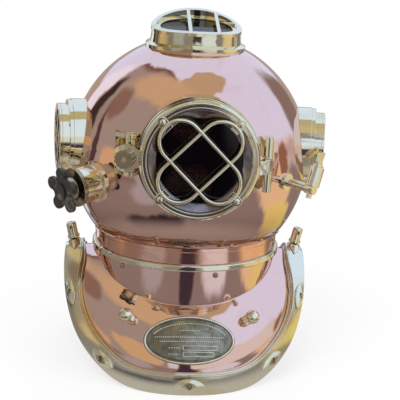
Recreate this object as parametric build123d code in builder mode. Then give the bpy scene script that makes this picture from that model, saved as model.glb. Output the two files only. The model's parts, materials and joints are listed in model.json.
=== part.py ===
import os
from math import acos, cos, degrees, hypot, radians, sin, sqrt

from build123d import *

# Copper and brass diving helmet, standing on the rim of its breastplate.
# Millimetres, +Z up. The wearer faces -Y and the viewer's right is +X. The origin lies on the axis of
# the neck, at the height of the rim's foot.

# Clearances that many pieces share
running_gap = 0.3
fit_gap = 0.05
layer_gap = 0.25
cut_overrun = 4.0

# Dome of the bonnet
dome_radius = 157.0
dome_wall = 2.5
dome_centre_height = 267.0
dome_foot_height = 171.0

# Neck band under the dome, with its spigot
neck_bore_radius = 103.0
spigot_radius = 108.0
spigot_foot_height = 124.5
neck_band_radius = 122.6
neck_band_foot_height = 150.5
neck_groove_height = 165.5
neck_groove_width = 1.0
neck_groove_depth = 1.0
neck_strip_radius = 123.4
neck_throat_height = 158.0
neck_flange_rise = 11.0
neck_flange_wall = 3.0
rivet_count = 16
rivet_climb = 2.2
rivet_shank_radius = 1.5
rivet_head_radius = 3.0
rivet_head_height = 1.6

# Interrupted thread between bonnet and breastplate
thread_count = 4
thread_arc = 43.0
thread_height = 8.2
bonnet_thread_radius = 111.6

# Collar on top of the breastplate
collar_bore_radius = 112.0
collar_thread_radius = 108.4
collar_sleeve_foot_height = 118.0
collar_flange_radius = 126.5
collar_flange_height = 142.0
collar_edge_fillet = 2.0
gasket_inner_radius = 113.9
gasket_outer_radius = 119.1
gasket_thickness = 2.5
collar_screw_count = 6
collar_screw_turn = 15.0
collar_screw_drop = 6.5
collar_screw_head_radius = 3.5
collar_screw_head_height = 2.0
collar_screw_shank_radius = 1.6
collar_screw_length = 5.5

# Safety catch behind the collar
catch_pin_reach = 132.5
catch_pin_height = 145.5
catch_pin_radius = 1.6
catch_barrel_radius = 3.6
catch_width = 10.0
catch_arm_length = 13.0
catch_arm_thickness = 5.0
catch_hook_length = 14.0
catch_hook_thickness = 5.0
catch_ear_thickness = 4.0
catch_ear_radius = 4.5
catch_notch_side_gap = 1.0
catch_notch_foot_height = 154.0
catch_notch_top_height = 164.8
catch_notch_depth = 5.6

# Breastplate, by its outer surface on the flank from the neck to the rim
plate_wall = 2.5
neck_radius = 120.0
rim_half_width = 160.0
rim_half_depth = 165.5
crease_front_height = 95.5
crease_side_height = 139.0
rim_shoulder_height = 133.0
foot_trim = 0.5
flank_step = 15.0
crease_rise_shares = (0.0, 0.03, 0.14, 0.31, 0.54, 0.82, 1.0)
rim_rise_shares = (0.0, 0.0, 0.04, 0.18, 0.385, 0.715, 1.0)
flank_start_slopes = (38.0, 38.0, 38.0, 37.0, 34.0, 24.0, 4.0)
flank_end_slopes = (84.0, 84.0, 84.0, 82.0, 79.0, 64.0, 22.0)
flank_handle_share = 0.4

# Rim, straps and pads, which lie on the flank one over another
rim_width = 26.0
rim_thickness = 3.0
strap_width = 24.5
strap_thickness = 4.0
strap_end_gap = 0.8
pad_length = 39.0
pad_width = 17.0
pad_thickness = 4.0
pad_set_back = 12.5
pad_turns = (0.0, 39.0, 68.0, 90.0, 112.0, 141.0, 180.0)
stud_radius = 3.0
stud_recess = 1.5
stud_hole_gap = 0.4
shoulder_stud_height = 19.0
nut_foot_radius = 8.2
nut_foot_height = 3.0
nut_body_radius = 6.8
nut_height = 21.0
nut_grip_hole_radius = 2.2
nut_grip_hole_height = 14.5
nut_crown_fillet = 3.0

# Nameplate and ball studs on the chest
nameplate_share = 0.4
nameplate_length = 113.0
nameplate_height = 60.0
nameplate_thickness = 1.4
nameplate_border_width = 4.5
nameplate_border_height = 1.1
nameplate_bar_height = 3.6
nameplate_bars = (
    (15.5, 64.0, 0.0),
    (7.5, 84.0, 0.0),
    (-0.5, 92.0, 0.0),
    (-9.5, 42.0, 10.0),
    (-17.5, 36.0, 10.0),
)
ball_stud_turn = 31.5
ball_stud_share = 0.28
ball_radius = 8.7
ball_stem_radius = 4.2
ball_foot_radius = 7.0
ball_foot_height = 2.5
ball_centre_height = 13.0

# Windows in front and at the sides
window_rise = 22.0
side_window_turn = 80.0

# Seat of the front window
front_bore_radius = 50.5
front_seat_radius = 72.0
front_seat_lip_radius = 68.0
front_seat_step_reach = 154.5
front_seat_reach = 158.7
front_gasket_inner_radius = 56.0
front_gasket_outer_radius = 63.0
front_gasket_depth = 3.0

# Front window, which is a door
door_radius = 69.0
door_thickness = 15.5
door_face_inner_radius = 59.5
door_sight_radius = 50.0
door_sight_depth = 4.5
door_lip_thickness = 2.5
door_edge_bevel = 1.8
door_glass_radius = 54.0
door_glass_thickness = 6.0
door_retainer_bore_radius = 50.5
door_retainer_set_back = 0.3

# Guard over the front window
guard_wire_radius = 2.4
guard_turn = 45.0
guard_loop_width = 48.0
guard_loop_length = 113.0
guard_loop_lift = 0.4
guard_loop_step = 0.6
guard_lug_radius = 6.0
guard_lug_place_radius = 62.5
guard_lug_count = 4
guard_lug_thickness = 3.2
guard_screw_head_radius = 3.6
guard_screw_head_height = 2.0
guard_screw_shank_radius = 1.9
guard_screw_length = 8.0

# Hinge of the front window
hinge_reach_x = 82.0
hinge_reach_y = 150.0
hinge_rise = 16.0
hinge_leaf_height = 16.6
hinge_knuckle_height = 23.0
hinge_barrel_radius = 5.2
hinge_pin_radius = 2.5
hinge_pin_head_radius = 4.2
hinge_pin_head_height = 2.5
hinge_leaf_thickness = 9.0
hinge_leaf_root = 6.0
hinge_leaf_neck = 4.0
hinge_leaf_dimple_radius = 4.2
hinge_leaf_dimple_depth = 2.4
hinge_leaf_dimple_place = 76.0
hinge_arm_spread = 10.0
hinge_arm_depth = 38.0

# Swing bolt of the front window, and the clevis that holds it
latch_reach_x = 79.0
latch_reach_y = 144.0
latch_yaw = 13.0
latch_ear_thickness = 5.0
latch_clevis_height = 49.0
latch_pin_radius = 3.0
latch_pin_head_radius = 4.8
latch_pin_head_height = 2.5
latch_ear_edge = 7.0
latch_back_reach_y = 131.0
latch_back_left = 97.0
latch_back_right = 66.0
latch_back_depth = 26.0
swing_eye_radius = 6.6
swing_shank_radius = 4.5
swing_tip_reach = 31.0
lug_rear_reach = 17.5
lug_thickness = 6.0
lug_radius = 16.0
lug_slot_gap = 0.6
lug_root_length = 22.0
lug_root_height = 20.0
latch_nut_radius = 11.0
latch_nut_height = 9.0
latch_nut_mouth_radius = 3.0
latch_nut_mouth_depth = 1.5
latch_nut_flute_count = 12
latch_nut_flute_radius = 1.6
latch_nut_flute_share = 1.06

# Side windows
side_bore_radius = 34.0
side_sleeve_radius = 41.0
side_sleeve_reach = 143.0
side_seat_radius = 49.5
side_seat_reach = 158.5
side_recess_radius = 38.6
side_recess_reach = 152.0
side_gasket_inner_radius = 35.0
side_gasket_thickness = 1.5
side_glass_radius = 38.4
side_glass_thickness = 8.0
side_bezel_radius = 48.5
side_bezel_flange_height = 4.5
side_crown_radius = 43.5
side_crown_inner_radius = 36.0
side_crown_reach = 172.0
side_guard_height = 3.6
side_guard_turn = 45.0
side_guard_bar_width = 3.6
side_guard_bar_height = 3.0
side_guard_bar_place = 12.5
side_screw_count = 6
side_screw_turn = 30.0
side_screw_place_radius = 46.1
side_screw_head_radius = 2.1
side_screw_head_height = 1.2
side_screw_shank_radius = 1.2
side_screw_length = 4.0

# Top window, an oval turret that leans forward
top_elevation = 70.0
top_set_back = 29.0
top_opening_half_length = 44.5
top_opening_half_width = 31.0
top_flange_half_length = 64.0
top_flange_half_width = 51.5
top_flange_thickness = 4.5
top_wall_foot_half_length = 60.0
top_wall_foot_half_width = 46.5
top_wall_head_half_length = 54.5
top_wall_head_half_width = 41.0
top_bore_half_length = 50.5
top_bore_half_width = 37.0
top_lip_half_length = 57.5
top_lip_half_width = 44.0
top_lip_thickness = 4.0
top_reach = 177.0
top_wall_foot_reach = 130.0
top_arch_radius = 202.0
top_ledge_reach = 158.0
top_gasket_thickness = 1.5
top_glass_thickness = 6.0
top_retainer_thickness = 2.5
top_retainer_width = 5.0
top_bar_middle = 8.2
top_bar_spacing = 35.5
top_bar_width = 4.6
top_bar_thickness = 3.0
top_bar_half_length_share = 0.97
top_screw_places = ((-61.0, 0.0), (61.0, 0.0), (-35.0, 39.0), (35.0, 39.0), (-35.0, -39.0), (35.0, -39.0))
top_screw_head_radius = 2.2
top_screw_head_height = 1.3
top_screw_shank_radius = 1.3
top_screw_length = 3.5

# Exhaust valve on the viewer's left
exhaust_turn = -51.0
exhaust_elevation = -7.5
exhaust_bore_radius = 17.0
exhaust_flange_radius = 25.5
exhaust_flange_reach = 160.5
exhaust_body_radius = 22.5
exhaust_body_reach = 183.0
exhaust_seat_reach = 164.0
exhaust_seat_thickness = 3.0
exhaust_seat_bore_radius = 11.0
exhaust_port_count = 4
exhaust_port_first = 135.0
exhaust_port_spacing = 30.0
exhaust_port_radius = 3.2
exhaust_port_reach = 172.0
exhaust_chamber_radius = 18.5
exhaust_cap_radius = 23.8
exhaust_cap_bevel = 1.5
exhaust_cap_height = 6.0
exhaust_cap_nose_radius = 13.0
exhaust_cap_nose_end_radius = 11.0
exhaust_cap_nose_height = 7.0
chin_disc_radius = 14.5
chin_disc_thickness = 2.5
chin_stem_radius = 2.5
chin_stem_inner_reach = 128.0
chin_button_radius = 12.0
chin_button_thickness = 4.0
chin_guide_radius = 5.0
chin_guide_depth = 8.0
chin_spoke_count = 3
chin_spoke_width = 4.0
spring_radius = 8.0
spring_wire_radius = 0.6
spring_height = 7.5
spring_turns = 3
wheel_stem_radius = 5.0
wheel_stem_inner_reach = 184.0
wheel_hub_radius = 10.0
wheel_reach = 200.0
wheel_thickness = 7.0
wheel_radius = 28.5
wheel_lobe_count = 5
wheel_lobe_radius = 8.2
wheel_valley_radius = 16.5
wheel_valley_fillet = 4.0
wheel_edge_fillet = 2.2
wheel_hub_rise = 2.0

# Spit cock on the viewer's right
cock_turn = 46.0
cock_elevation = -4.0
cock_lean = 17.5
cock_flange_radius = 10.5
cock_flange_reach = 160.5
cock_tube_radius = 5.5
cock_bore_radius = 2.0
cock_collar_radius = 6.9
cock_collar_reach = 187.0
cock_collar_length = 11.5
cock_barrel_reach = 193.5
cock_barrel_radius = 8.7
cock_barrel_foot = 3.0
cock_barrel_head = 27.0
cock_nozzle_radius = 3.4
cock_nozzle_length = 12.0
cock_nozzle_bore_radius = 1.8
cock_plug_radius = 4.2
cock_plug_depth = 5.0
cock_cap_radius = 6.6
cock_cap_height = 2.5
cock_lever_width = 11.0
cock_lever_thickness = 4.2
cock_lever_length = 16.0
cock_lever_root_width = 7.5

# Air and telephone inlets behind
inlet_turn = 150.0
inlet_rise = -15.0
inlet_flange_radius = 22.0
inlet_flange_reach = 161.0
inlet_radius = 13.0
inlet_start_reach = 140.0
inlet_bend_radius = 20.0
inlet_down_reach = 192.0
inlet_stub_length = 27.0
inlet_thread_radius = 12.0
inlet_thread_length = 18.0
inlet_bore_radius = 8.0
inlet_mouth_radius = 6.0
inlet_mouth_length = 12.0
flap_radius = 7.0
flap_thickness = 1.6
flap_pin_radius = 0.9
flap_pin_half_length = 2.8
flap_pivot_set_in = 6.3
gland_radius = 15.5
gland_length = 15.0
gland_end_wall = 5.0
gland_bore_radius = 5.0
gland_flute_count = 16
gland_flute_radius = 1.4
gland_flute_share = 1.05

# What follows from these
dome_inner_radius = dome_radius - dome_wall
neck_inner_radius = neck_radius - plate_wall
collar_top_height = neck_band_foot_height - running_gap
collar_sleeve_radius = neck_inner_radius - running_gap
collar_thread_foot_height = spigot_foot_height + thread_height + running_gap
rim_low = 2 * layer_gap
rim_high = rim_low + rim_thickness
strap_low = rim_high + layer_gap
strap_high = strap_low + strap_thickness
pad_low = strap_high + layer_gap
pad_high = pad_low + pad_thickness
door_rear_reach = front_seat_reach + running_gap
door_front_reach = door_rear_reach + door_thickness
door_lip_reach = door_front_reach - door_sight_depth - door_lip_thickness
window_height = dome_centre_height + window_rise
hinge_height = dome_centre_height + hinge_rise


def radial_plane(turn, height=0.0):
    """Upright plane through the neck's axis. Its x runs outward at the turn from the front, its y up."""
    out = (sin(radians(turn)), -cos(radians(turn)), 0)
    return Plane(origin=(0, 0, height), x_dir=out, z_dir=(out[1], -out[0], 0))


def port(turn, elevation=0.0, rise=0.0):
    """Plane at the dome's centre whose normal runs out through a fitting. Its y runs up the dome."""
    level = cos(radians(elevation))
    out = (level * sin(radians(turn)), -level * cos(radians(turn)), sin(radians(elevation)))
    across = (cos(radians(turn)), sin(radians(turn)), 0)
    return Plane(origin=(0, 0, dome_centre_height + rise), x_dir=across, z_dir=out)


def spun(plane, turn):
    """The plane turned about its own normal."""
    across = plane.x_dir * cos(radians(turn)) + plane.y_dir * sin(radians(turn))
    return Plane(origin=plane.origin, x_dir=across, z_dir=plane.z_dir)


def turned(plane, corners):
    """Solid turned about a plane's normal. Each corner is a radius and a reach along the normal."""
    beside = Plane(origin=plane.origin, x_dir=plane.x_dir, z_dir=-plane.y_dir)
    with BuildPart() as body:
        with BuildSketch(beside):
            with BuildLine():
                Polyline(*corners, close=True)
            make_face()
        revolve(axis=Axis(plane.origin, plane.z_dir))
    return body.part


def ring(plane, inner, outer, low, high):
    """Plain ring between two radii and two reaches along the plane's normal."""
    with BuildPart() as body:
        with BuildSketch(plane.offset(low)):
            Circle(outer)
            if inner:
                Circle(inner, mode=Mode.SUBTRACT)
        extrude(amount=high - low)
    return body.part


def oval(plane, half_length, half_width, low, high):
    """Oval plug between two reaches along the plane's normal."""
    with BuildPart() as body:
        with BuildSketch(plane.offset(low)):
            Ellipse(half_length, half_width)
        extrude(amount=high - low)
    return body.part


def around(plane, radius, count, first=0.0):
    """Planes spread round a plane's normal, each parallel to it."""
    spots = []
    for index in range(count):
        angle = radians(first + index * 360 / count)
        origin = plane.from_local_coords(Vector(radius * cos(angle), radius * sin(angle), 0))
        spots.append(Plane(origin=origin, x_dir=plane.x_dir, z_dir=plane.z_dir))
    return spots


def at_turn(shares, turn):
    """Smooth value of a quarter's table at any turn from the front. The quarters mirror each other."""
    last = len(shares) - 1

    def value(index):
        folded = abs(index)
        return shares[folded if folded <= last else 2 * last - folded]

    folded_turn = abs(turn) if abs(turn) <= 90 else 180 - abs(turn)
    place = folded_turn / flank_step
    index = int(place)
    part = place - index
    before, here, after, beyond = (value(index + offset) for offset in (-1, 0, 1, 2))
    bend = 2 * before - 5 * here + 4 * after - beyond + part * (3 * (here - after) + beyond - before)
    return here + part / 2 * (after - before + part * bend)


def flank_points(turn, lift=0.0):
    """Control points of the flank's curve at a turn, raised off the plate's outer surface."""
    angle = radians(turn)
    rim_reach = 1 / hypot(sin(angle) / rim_half_width, cos(angle) / rim_half_depth)
    crease_rise = crease_side_height - crease_front_height
    crease = crease_front_height + crease_rise * at_turn(crease_rise_shares, turn)
    rim = (rim_shoulder_height + foot_trim) * at_turn(rim_rise_shares, turn) - foot_trim
    first = radians(at_turn(flank_start_slopes, turn))
    last = radians(at_turn(flank_end_slopes, turn))
    handle = flank_handle_share * hypot(rim_reach - neck_radius, rim - crease)
    points = (
        (neck_radius, crease),
        (neck_radius + handle * cos(first), crease - handle * sin(first)),
        (rim_reach - handle * cos(last), rim + handle * sin(last)),
        (rim_reach, rim),
    )
    lifted = []
    for index, (out, up) in enumerate(points):
        share = index / 3
        across = (1 - share) * sin(first) + share * sin(last)
        along = (1 - share) * cos(first) + share * cos(last)
        lifted.append((out + lift * across, up + lift * along))
    return lifted


def curve_tail(points, share):
    """Control points of the part of a flank's curve from a share of it to the rim."""
    rows = [list(points)]
    while len(rows[-1]) > 1:
        row = rows[-1]
        rows.append([tuple(a + share * (b - a) for a, b in zip(one, two)) for one, two in zip(row, row[1:])])
    return [row[-1] for row in reversed(rows)]


def flank_spot(turn, share, lift=0.0):
    """Point on the flank, as a vector."""
    out, up = curve_tail(flank_points(turn, lift), share)[0]
    return Vector(out * sin(radians(turn)), -out * cos(radians(turn)), up)


def flank_plane(turn, share, lift=0.0):
    """Plane that touches the flank. Its x runs along the rim and its normal out of the plate."""
    nudge_turn = 1
    nudge_share = 0.01
    along = flank_spot(turn + nudge_turn, share, lift) - flank_spot(turn - nudge_turn, share, lift)
    down = flank_spot(turn, share + nudge_share, lift) - flank_spot(turn, share - nudge_share, lift)
    return Plane(origin=flank_spot(turn, share, lift), x_dir=along, z_dir=down.cross(along))


def band_share(turn, lift, width):
    """Share of the flank's curve where a band of this width along the rim begins."""
    steps = 200
    edge = flank_spot(turn + 1, 1, lift) - flank_spot(turn - 1, 1, lift)
    run = flank_spot(turn, 1, lift) - flank_spot(turn, 1 - 1 / steps, lift)
    slant = run.cross(edge).length / (run.length * edge.length)
    length = 0
    for step in range(steps, 0, -1):
        length += (flank_spot(turn, step / steps, lift) - flank_spot(turn, (step - 1) / steps, lift)).length
        if length * slant >= width:
            return (step - 1) / steps
    return 0


def flank_skin(low, high, shares):
    """Front half of a layer on the flank between two lifts. shares gives where it begins at a turn."""
    last = len(rim_rise_shares)
    with BuildPart() as skin:
        for index in range(-last, last + 1):
            turn = index * flank_step
            inner = curve_tail(flank_points(turn, low), shares(turn))
            outer = curve_tail(flank_points(turn, high), shares(turn))
            with BuildSketch(radial_plane(turn)):
                with BuildLine():
                    Bezier(*inner)
                    Line(inner[-1], outer[-1])
                    Bezier(*reversed(outer))
                    Line(outer[0], inner[0])
                make_face()
        loft()
        split(bisect_by=Plane.XZ, keep=Keep.TOP)
    return skin.part


def inlet_elbow(turn, stub_radius, stub_length):
    """Elbow on the dome that runs out, bends and points down, still without its bore."""
    wall = port(turn, rise=inlet_rise)
    upright = radial_plane(turn, dome_centre_height + inlet_rise)
    bend_start = inlet_down_reach - inlet_bend_radius
    with BuildPart() as elbow:
        with BuildLine(upright):
            level = Line((inlet_start_reach, 0), (bend_start, 0))
            bend = JernArc(start=level @ 1, tangent=level % 1, radius=inlet_bend_radius, arc_size=-90)
            Line(bend @ 1, (inlet_down_reach, -inlet_bend_radius - inlet_stub_length + inlet_thread_length))
        with BuildSketch(wall.offset(inlet_start_reach)):
            Circle(inlet_radius)
        sweep()
        with BuildSketch(wall.offset(inlet_start_reach)):
            Circle(inlet_flange_radius)
        extrude(amount=inlet_flange_reach - inlet_start_reach)
        foot = dome_centre_height + inlet_rise - inlet_bend_radius - inlet_stub_length
        place = upright.from_local_coords(Vector(inlet_down_reach, 0, 0))
        with BuildSketch(Plane(origin=(place.X, place.Y, foot))):
            Circle(stub_radius)
        extrude(amount=stub_length)
    return elbow.part


def inlet_bore(turn, radius, mouth_radius):
    """The way through an elbow, from inside the dome to its mouth."""
    upright = radial_plane(turn, dome_centre_height + inlet_rise)
    start = inlet_start_reach - cut_overrun
    end = inlet_bend_radius + inlet_stub_length
    with BuildPart() as bore:
        with BuildLine(upright):
            level = Line((start, 0), (inlet_down_reach - inlet_bend_radius, 0))
            bend = JernArc(start=level @ 1, tangent=level % 1, radius=inlet_bend_radius, arc_size=-90)
            Line(bend @ 1, (inlet_down_reach, inlet_mouth_length - end))
        with BuildSketch(port(turn, rise=inlet_rise).offset(start)):
            Circle(radius)
        sweep()
        place = upright.from_local_coords(Vector(inlet_down_reach, -end - cut_overrun, 0))
        with BuildSketch(Plane(origin=place)):
            Circle(mouth_radius)
        extrude(amount=inlet_mouth_length + 2 * cut_overrun)
    return bore.part


def threads(inner, outer, foot):
    """Interrupted thread: equal segments round the neck's axis, with gaps a little wider."""
    with BuildPart() as segments:
        for index in range(thread_count):
            with BuildSketch(radial_plane(index * 360 / thread_count - thread_arc / 2)):
                with BuildLine():
                    head = foot + thread_height
                    Polyline((inner, foot), (outer, foot), (outer, head), (inner, head), close=True)
                make_face()
            revolve(axis=Axis.Z, revolution_arc=thread_arc)
    return segments.part


def flutes(plane, radius, count, place_share, low, high, flute_radius):
    """Grip flutes to cut from a round nut."""
    with BuildPart() as cuts:
        for spot in around(plane, radius * place_share, count):
            with BuildSketch(spot.offset(low)):
                Circle(flute_radius)
            extrude(amount=high - low)
    return cuts.part


def screws(spots, head_radius, head_height, shank_radius, length):
    """Screws whose heads sit on their planes."""
    with BuildPart() as group:
        for spot in spots:
            with BuildSketch(spot):
                Circle(head_radius)
            extrude(amount=head_height, taper=12)
            with BuildSketch(spot.offset(-length)):
                Circle(shank_radius)
            extrude(amount=length)
    return group.part


def screw_holes(spots, shank_radius, length):
    """Holes for screws, from just above their planes down."""
    with BuildPart() as group:
        for spot in spots:
            with BuildSketch(spot.offset(-length - fit_gap)):
                Circle(shank_radius + fit_gap)
            extrude(amount=length + fit_gap + cut_overrun)
    return group.part


# Ports of the dome
front_port = port(0, rise=window_rise)
left_port = port(-side_window_turn, rise=window_rise)
right_port = port(side_window_turn, rise=window_rise)
top_axis = port(0, top_elevation)
top_port = Plane(
    origin=top_axis.from_local_coords(Vector(0, top_set_back, 0)),
    x_dir=top_axis.x_dir,
    z_dir=top_axis.z_dir,
)
exhaust_port = port(exhaust_turn, exhaust_elevation)
cock_port = port(cock_turn, cock_elevation)
air_port = port(inlet_turn, rise=inlet_rise)
phone_port = port(-inlet_turn, rise=inlet_rise)

with BuildPart() as dome_ball:
    with Locations((0, 0, dome_centre_height)):
        Sphere(dome_radius)

# Breastplate shell: neck and flank in one sheet
with BuildPart() as plate_half:
    sections = len(rim_rise_shares)
    for number in range(-sections, sections + 1):
        section_turn = number * flank_step
        outside = flank_points(section_turn)
        inside = flank_points(section_turn, -plate_wall)
        slope = radians(at_turn(flank_start_slopes, section_turn))
        inside[0] = (neck_inner_radius, outside[0][1] - plate_wall * (1 - sin(slope)) / cos(slope))
        with BuildSketch(radial_plane(section_turn)):
            with BuildLine():
                Line((neck_inner_radius, collar_flange_height), (neck_radius, collar_flange_height))
                Line((neck_radius, collar_flange_height), outside[0])
                Bezier(*outside)
                Line(outside[-1], inside[-1])
                Bezier(*reversed(inside))
                Line(inside[0], (neck_inner_radius, collar_flange_height))
            make_face()
    loft()
    split(bisect_by=Plane.XZ, keep=Keep.TOP)

collar_screw_rise = collar_flange_height - collar_screw_drop - dome_centre_height
collar_screw_spots = [
    port(collar_screw_turn + number * 360 / collar_screw_count, rise=collar_screw_rise).offset(neck_radius)
    for number in range(collar_screw_count)
]

with BuildPart() as breastplate_shell:
    add(plate_half.part)
    mirror(about=Plane.XZ)
    split(bisect_by=Plane.XY, keep=Keep.TOP)
    add(screw_holes(collar_screw_spots, collar_screw_shank_radius, collar_screw_length), mode=Mode.SUBTRACT)


# Layers on the flank
def rim_share(turn):
    """Where the rim band begins."""
    return band_share(turn, rim_low, rim_width)


def strap_share(turn):
    """Where the straps begin."""
    return band_share(turn, strap_high, strap_width)


def pad_share(turn):
    """Where the middle line of the pads lies."""
    return band_share(turn, strap_high, pad_set_back)


def whole_flank(share):
    """A layer that covers the flank from one share of its curve down."""
    return lambda turn: share


pad_spots = []
for pad_turn in pad_turns:
    for side in (1, -1):
        if 0 < pad_turn < 180 or side == 1:
            pad_spots.append(flank_plane(side * pad_turn, pad_share(side * pad_turn), strap_high))

with BuildPart() as stud_holes:
    for spot in pad_spots:
        with BuildSketch(spot):
            Circle(stud_radius + stud_hole_gap)
        extrude(amount=2 * pad_thickness, both=True)

with BuildPart() as rim_stud_holes:
    for spot in pad_spots:
        with BuildSketch(spot.offset(rim_low - strap_high - cut_overrun)):
            Circle(stud_radius + fit_gap)
        extrude(amount=rim_thickness + 2 * cut_overrun)

rim_front = flank_skin(rim_low, rim_high, rim_share)

with BuildPart() as breastplate_rim:
    add(rim_front)
    mirror(about=Plane.XZ)
    split(bisect_by=Plane.XY, keep=Keep.TOP)
    add(rim_stud_holes.part, mode=Mode.SUBTRACT)

strap_front = flank_skin(strap_low, strap_high, strap_share)

with BuildPart() as brail_front_left:
    add(strap_front)
    split(bisect_by=Plane.YZ.offset(-strap_end_gap / 2), keep=Keep.BOTTOM)
    split(bisect_by=Plane.XZ.offset(strap_end_gap / 2), keep=Keep.TOP)
    split(bisect_by=Plane.XY, keep=Keep.TOP)
    add(stud_holes.part, mode=Mode.SUBTRACT)

with BuildPart() as brail_front_right:
    add(strap_front)
    split(bisect_by=Plane.YZ.offset(strap_end_gap / 2), keep=Keep.TOP)
    split(bisect_by=Plane.XZ.offset(strap_end_gap / 2), keep=Keep.TOP)
    split(bisect_by=Plane.XY, keep=Keep.TOP)
    add(stud_holes.part, mode=Mode.SUBTRACT)

with BuildPart() as brail_back_left:
    mirror(brail_front_left.part, about=Plane.XZ)

with BuildPart() as brail_back_right:
    mirror(brail_front_right.part, about=Plane.XZ)

pad_front = flank_skin(pad_low, pad_high, strap_share)

with BuildPart() as pad_prisms:
    for spot in pad_spots:
        if spot.origin.Y < pad_length:
            with BuildSketch(spot):
                with BuildLine():
                    ends = ((-pad_length / 2, 0), (pad_length / 2, 0))
                    ThreePointArc(ends[0], (0, pad_width / 2), ends[1])
                    ThreePointArc(ends[1], (0, -pad_width / 2), ends[0])
                make_face()
                Circle(stud_radius + stud_hole_gap, mode=Mode.SUBTRACT)
            extrude(amount=2 * pad_thickness, both=True)

with BuildPart() as brail_pads:
    add(pad_front)
    add(pad_prisms.part, mode=Mode.INTERSECT)
    mirror(about=Plane.XZ)

# Studs: those on the shoulders stand up and take the tall nuts
with BuildPart() as rim_studs:
    for spot in pad_spots:
        on_shoulder = abs(spot.origin.Y) < pad_length
        top = shoulder_stud_height if on_shoulder else -stud_recess
        foot = rim_low + layer_gap - strap_high
        with BuildSketch(spot.offset(foot)):
            Circle(stud_radius)
        extrude(amount=pad_high - strap_high + top - foot)


def shoulder_nut(spot):
    """Tall round nut on a shoulder stud, with a hole across it for a bar."""
    foot = pad_high - strap_high + running_gap
    seat = spot.offset(foot)
    grip = Plane(origin=seat.offset(nut_grip_hole_height).origin, x_dir=seat.z_dir, z_dir=seat.x_dir)
    with BuildPart() as nut:
        add(ring(seat, 0, nut_foot_radius, 0, nut_foot_height))
        add(ring(seat, 0, nut_body_radius, nut_foot_height, nut_height))
        head = nut.edges().sort_by(Axis(seat.origin, seat.z_dir))[-1]
        fillet(head, radius=nut_crown_fillet)
        add(ring(seat, 0, stud_radius + fit_gap, -cut_overrun, shoulder_stud_height), mode=Mode.SUBTRACT)
        with BuildSketch(grip):
            Circle(nut_grip_hole_radius)
        extrude(amount=nut_foot_radius, both=True, mode=Mode.SUBTRACT)
    return nut.part


right_shoulder = flank_plane(90, pad_share(90), strap_high)
left_shoulder = flank_plane(-90, pad_share(-90), strap_high)

with BuildPart() as shoulder_nut_left:
    add(shoulder_nut(left_shoulder))

with BuildPart() as shoulder_nut_right:
    add(shoulder_nut(right_shoulder))

# Collar ring, its thread, the gasket in its face and the screws that hold it
with BuildPart() as collar_ring:
    with BuildSketch(radial_plane(0)):
        with BuildLine():
            Polyline(
                (collar_bore_radius, collar_sleeve_foot_height),
                (collar_sleeve_radius, collar_sleeve_foot_height),
                (collar_sleeve_radius, collar_flange_height),
                (collar_flange_radius, collar_flange_height),
                (collar_flange_radius, collar_top_height),
                (gasket_outer_radius + running_gap, collar_top_height),
                (gasket_outer_radius + running_gap, collar_top_height - gasket_thickness),
                (gasket_inner_radius - running_gap, collar_top_height - gasket_thickness),
                (gasket_inner_radius - running_gap, collar_top_height),
                (collar_bore_radius, collar_top_height),
                close=True,
            )
        make_face()
    revolve(axis=Axis.Z)
    fillet(edges().filter_by(GeomType.CIRCLE).group_by(SortBy.RADIUS)[-1], radius=collar_edge_fillet)
    add(threads(collar_thread_radius, collar_bore_radius + running_gap, collar_thread_foot_height))
    add(screw_holes(collar_screw_spots, collar_screw_shank_radius, collar_screw_length), mode=Mode.SUBTRACT)

with BuildPart() as neck_gasket:
    add(ring(Plane.XY, gasket_inner_radius, gasket_outer_radius, collar_top_height - gasket_thickness,
             collar_top_height))

with BuildPart() as collar_screws:
    add(screws(collar_screw_spots, collar_screw_head_radius, collar_screw_head_height,
               collar_screw_shank_radius, collar_screw_length))
    add(ring(Plane.XY, collar_sleeve_radius, neck_radius, 0, collar_flange_height), mode=Mode.SUBTRACT)
    for spot in collar_screw_spots:
        with BuildSketch(spot.offset(-collar_screw_length)):
            Circle(collar_screw_shank_radius)
        extrude(amount=collar_screw_length)

# Safety catch behind the collar, shown released and hanging down
catch_pin_plane = Plane(origin=(0, catch_pin_reach, catch_pin_height), x_dir=(0, 1, 0), z_dir=(1, 0, 0))
catch_ear_middle = (catch_width + catch_ear_thickness) / 2 + running_gap

with BuildPart() as catch_bracket:
    for side in (1, -1):
        middle = catch_pin_plane.offset(side * catch_ear_middle)
        with BuildSketch(middle):
            Circle(catch_ear_radius)
            with BuildLine():
                inward = collar_flange_radius - collar_edge_fillet - catch_pin_reach
                lower = collar_flange_height - catch_pin_height
                upper = collar_top_height - collar_edge_fillet - catch_pin_height
                Polyline((inward, lower), (0, -catch_ear_radius), (0, catch_ear_radius), (inward, upper),
                         close=True)
            make_face()
        extrude(amount=catch_ear_thickness / 2, both=True)
    add(ring(Plane.XY, 0, collar_flange_radius, collar_flange_height - cut_overrun, collar_top_height),
        mode=Mode.SUBTRACT)
    add(ring(catch_pin_plane, 0, catch_pin_radius + fit_gap, -catch_width, catch_width), mode=Mode.SUBTRACT)

catch_half_span = catch_ear_middle + catch_ear_thickness / 2

with BuildPart() as catch_pin:
    add(ring(catch_pin_plane, 0, catch_pin_radius, -catch_half_span, catch_half_span))

with BuildPart() as safety_catch:
    with BuildSketch(catch_pin_plane.offset(-catch_width / 2)):
        Circle(catch_barrel_radius)
        with BuildLine():
            reach = catch_arm_length + catch_hook_thickness / 2
            half = catch_arm_thickness / 2
            Polyline(
                (-half, 0),
                (-half, -reach),
                (catch_hook_length, -reach),
                (catch_hook_length, catch_hook_thickness - reach),
                (half, catch_hook_thickness - reach),
                (half, 0),
                close=True,
            )
        make_face()
    extrude(amount=catch_width)
    add(ring(catch_pin_plane, 0, catch_pin_radius + fit_gap, -catch_width, catch_width), mode=Mode.SUBTRACT)

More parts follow.
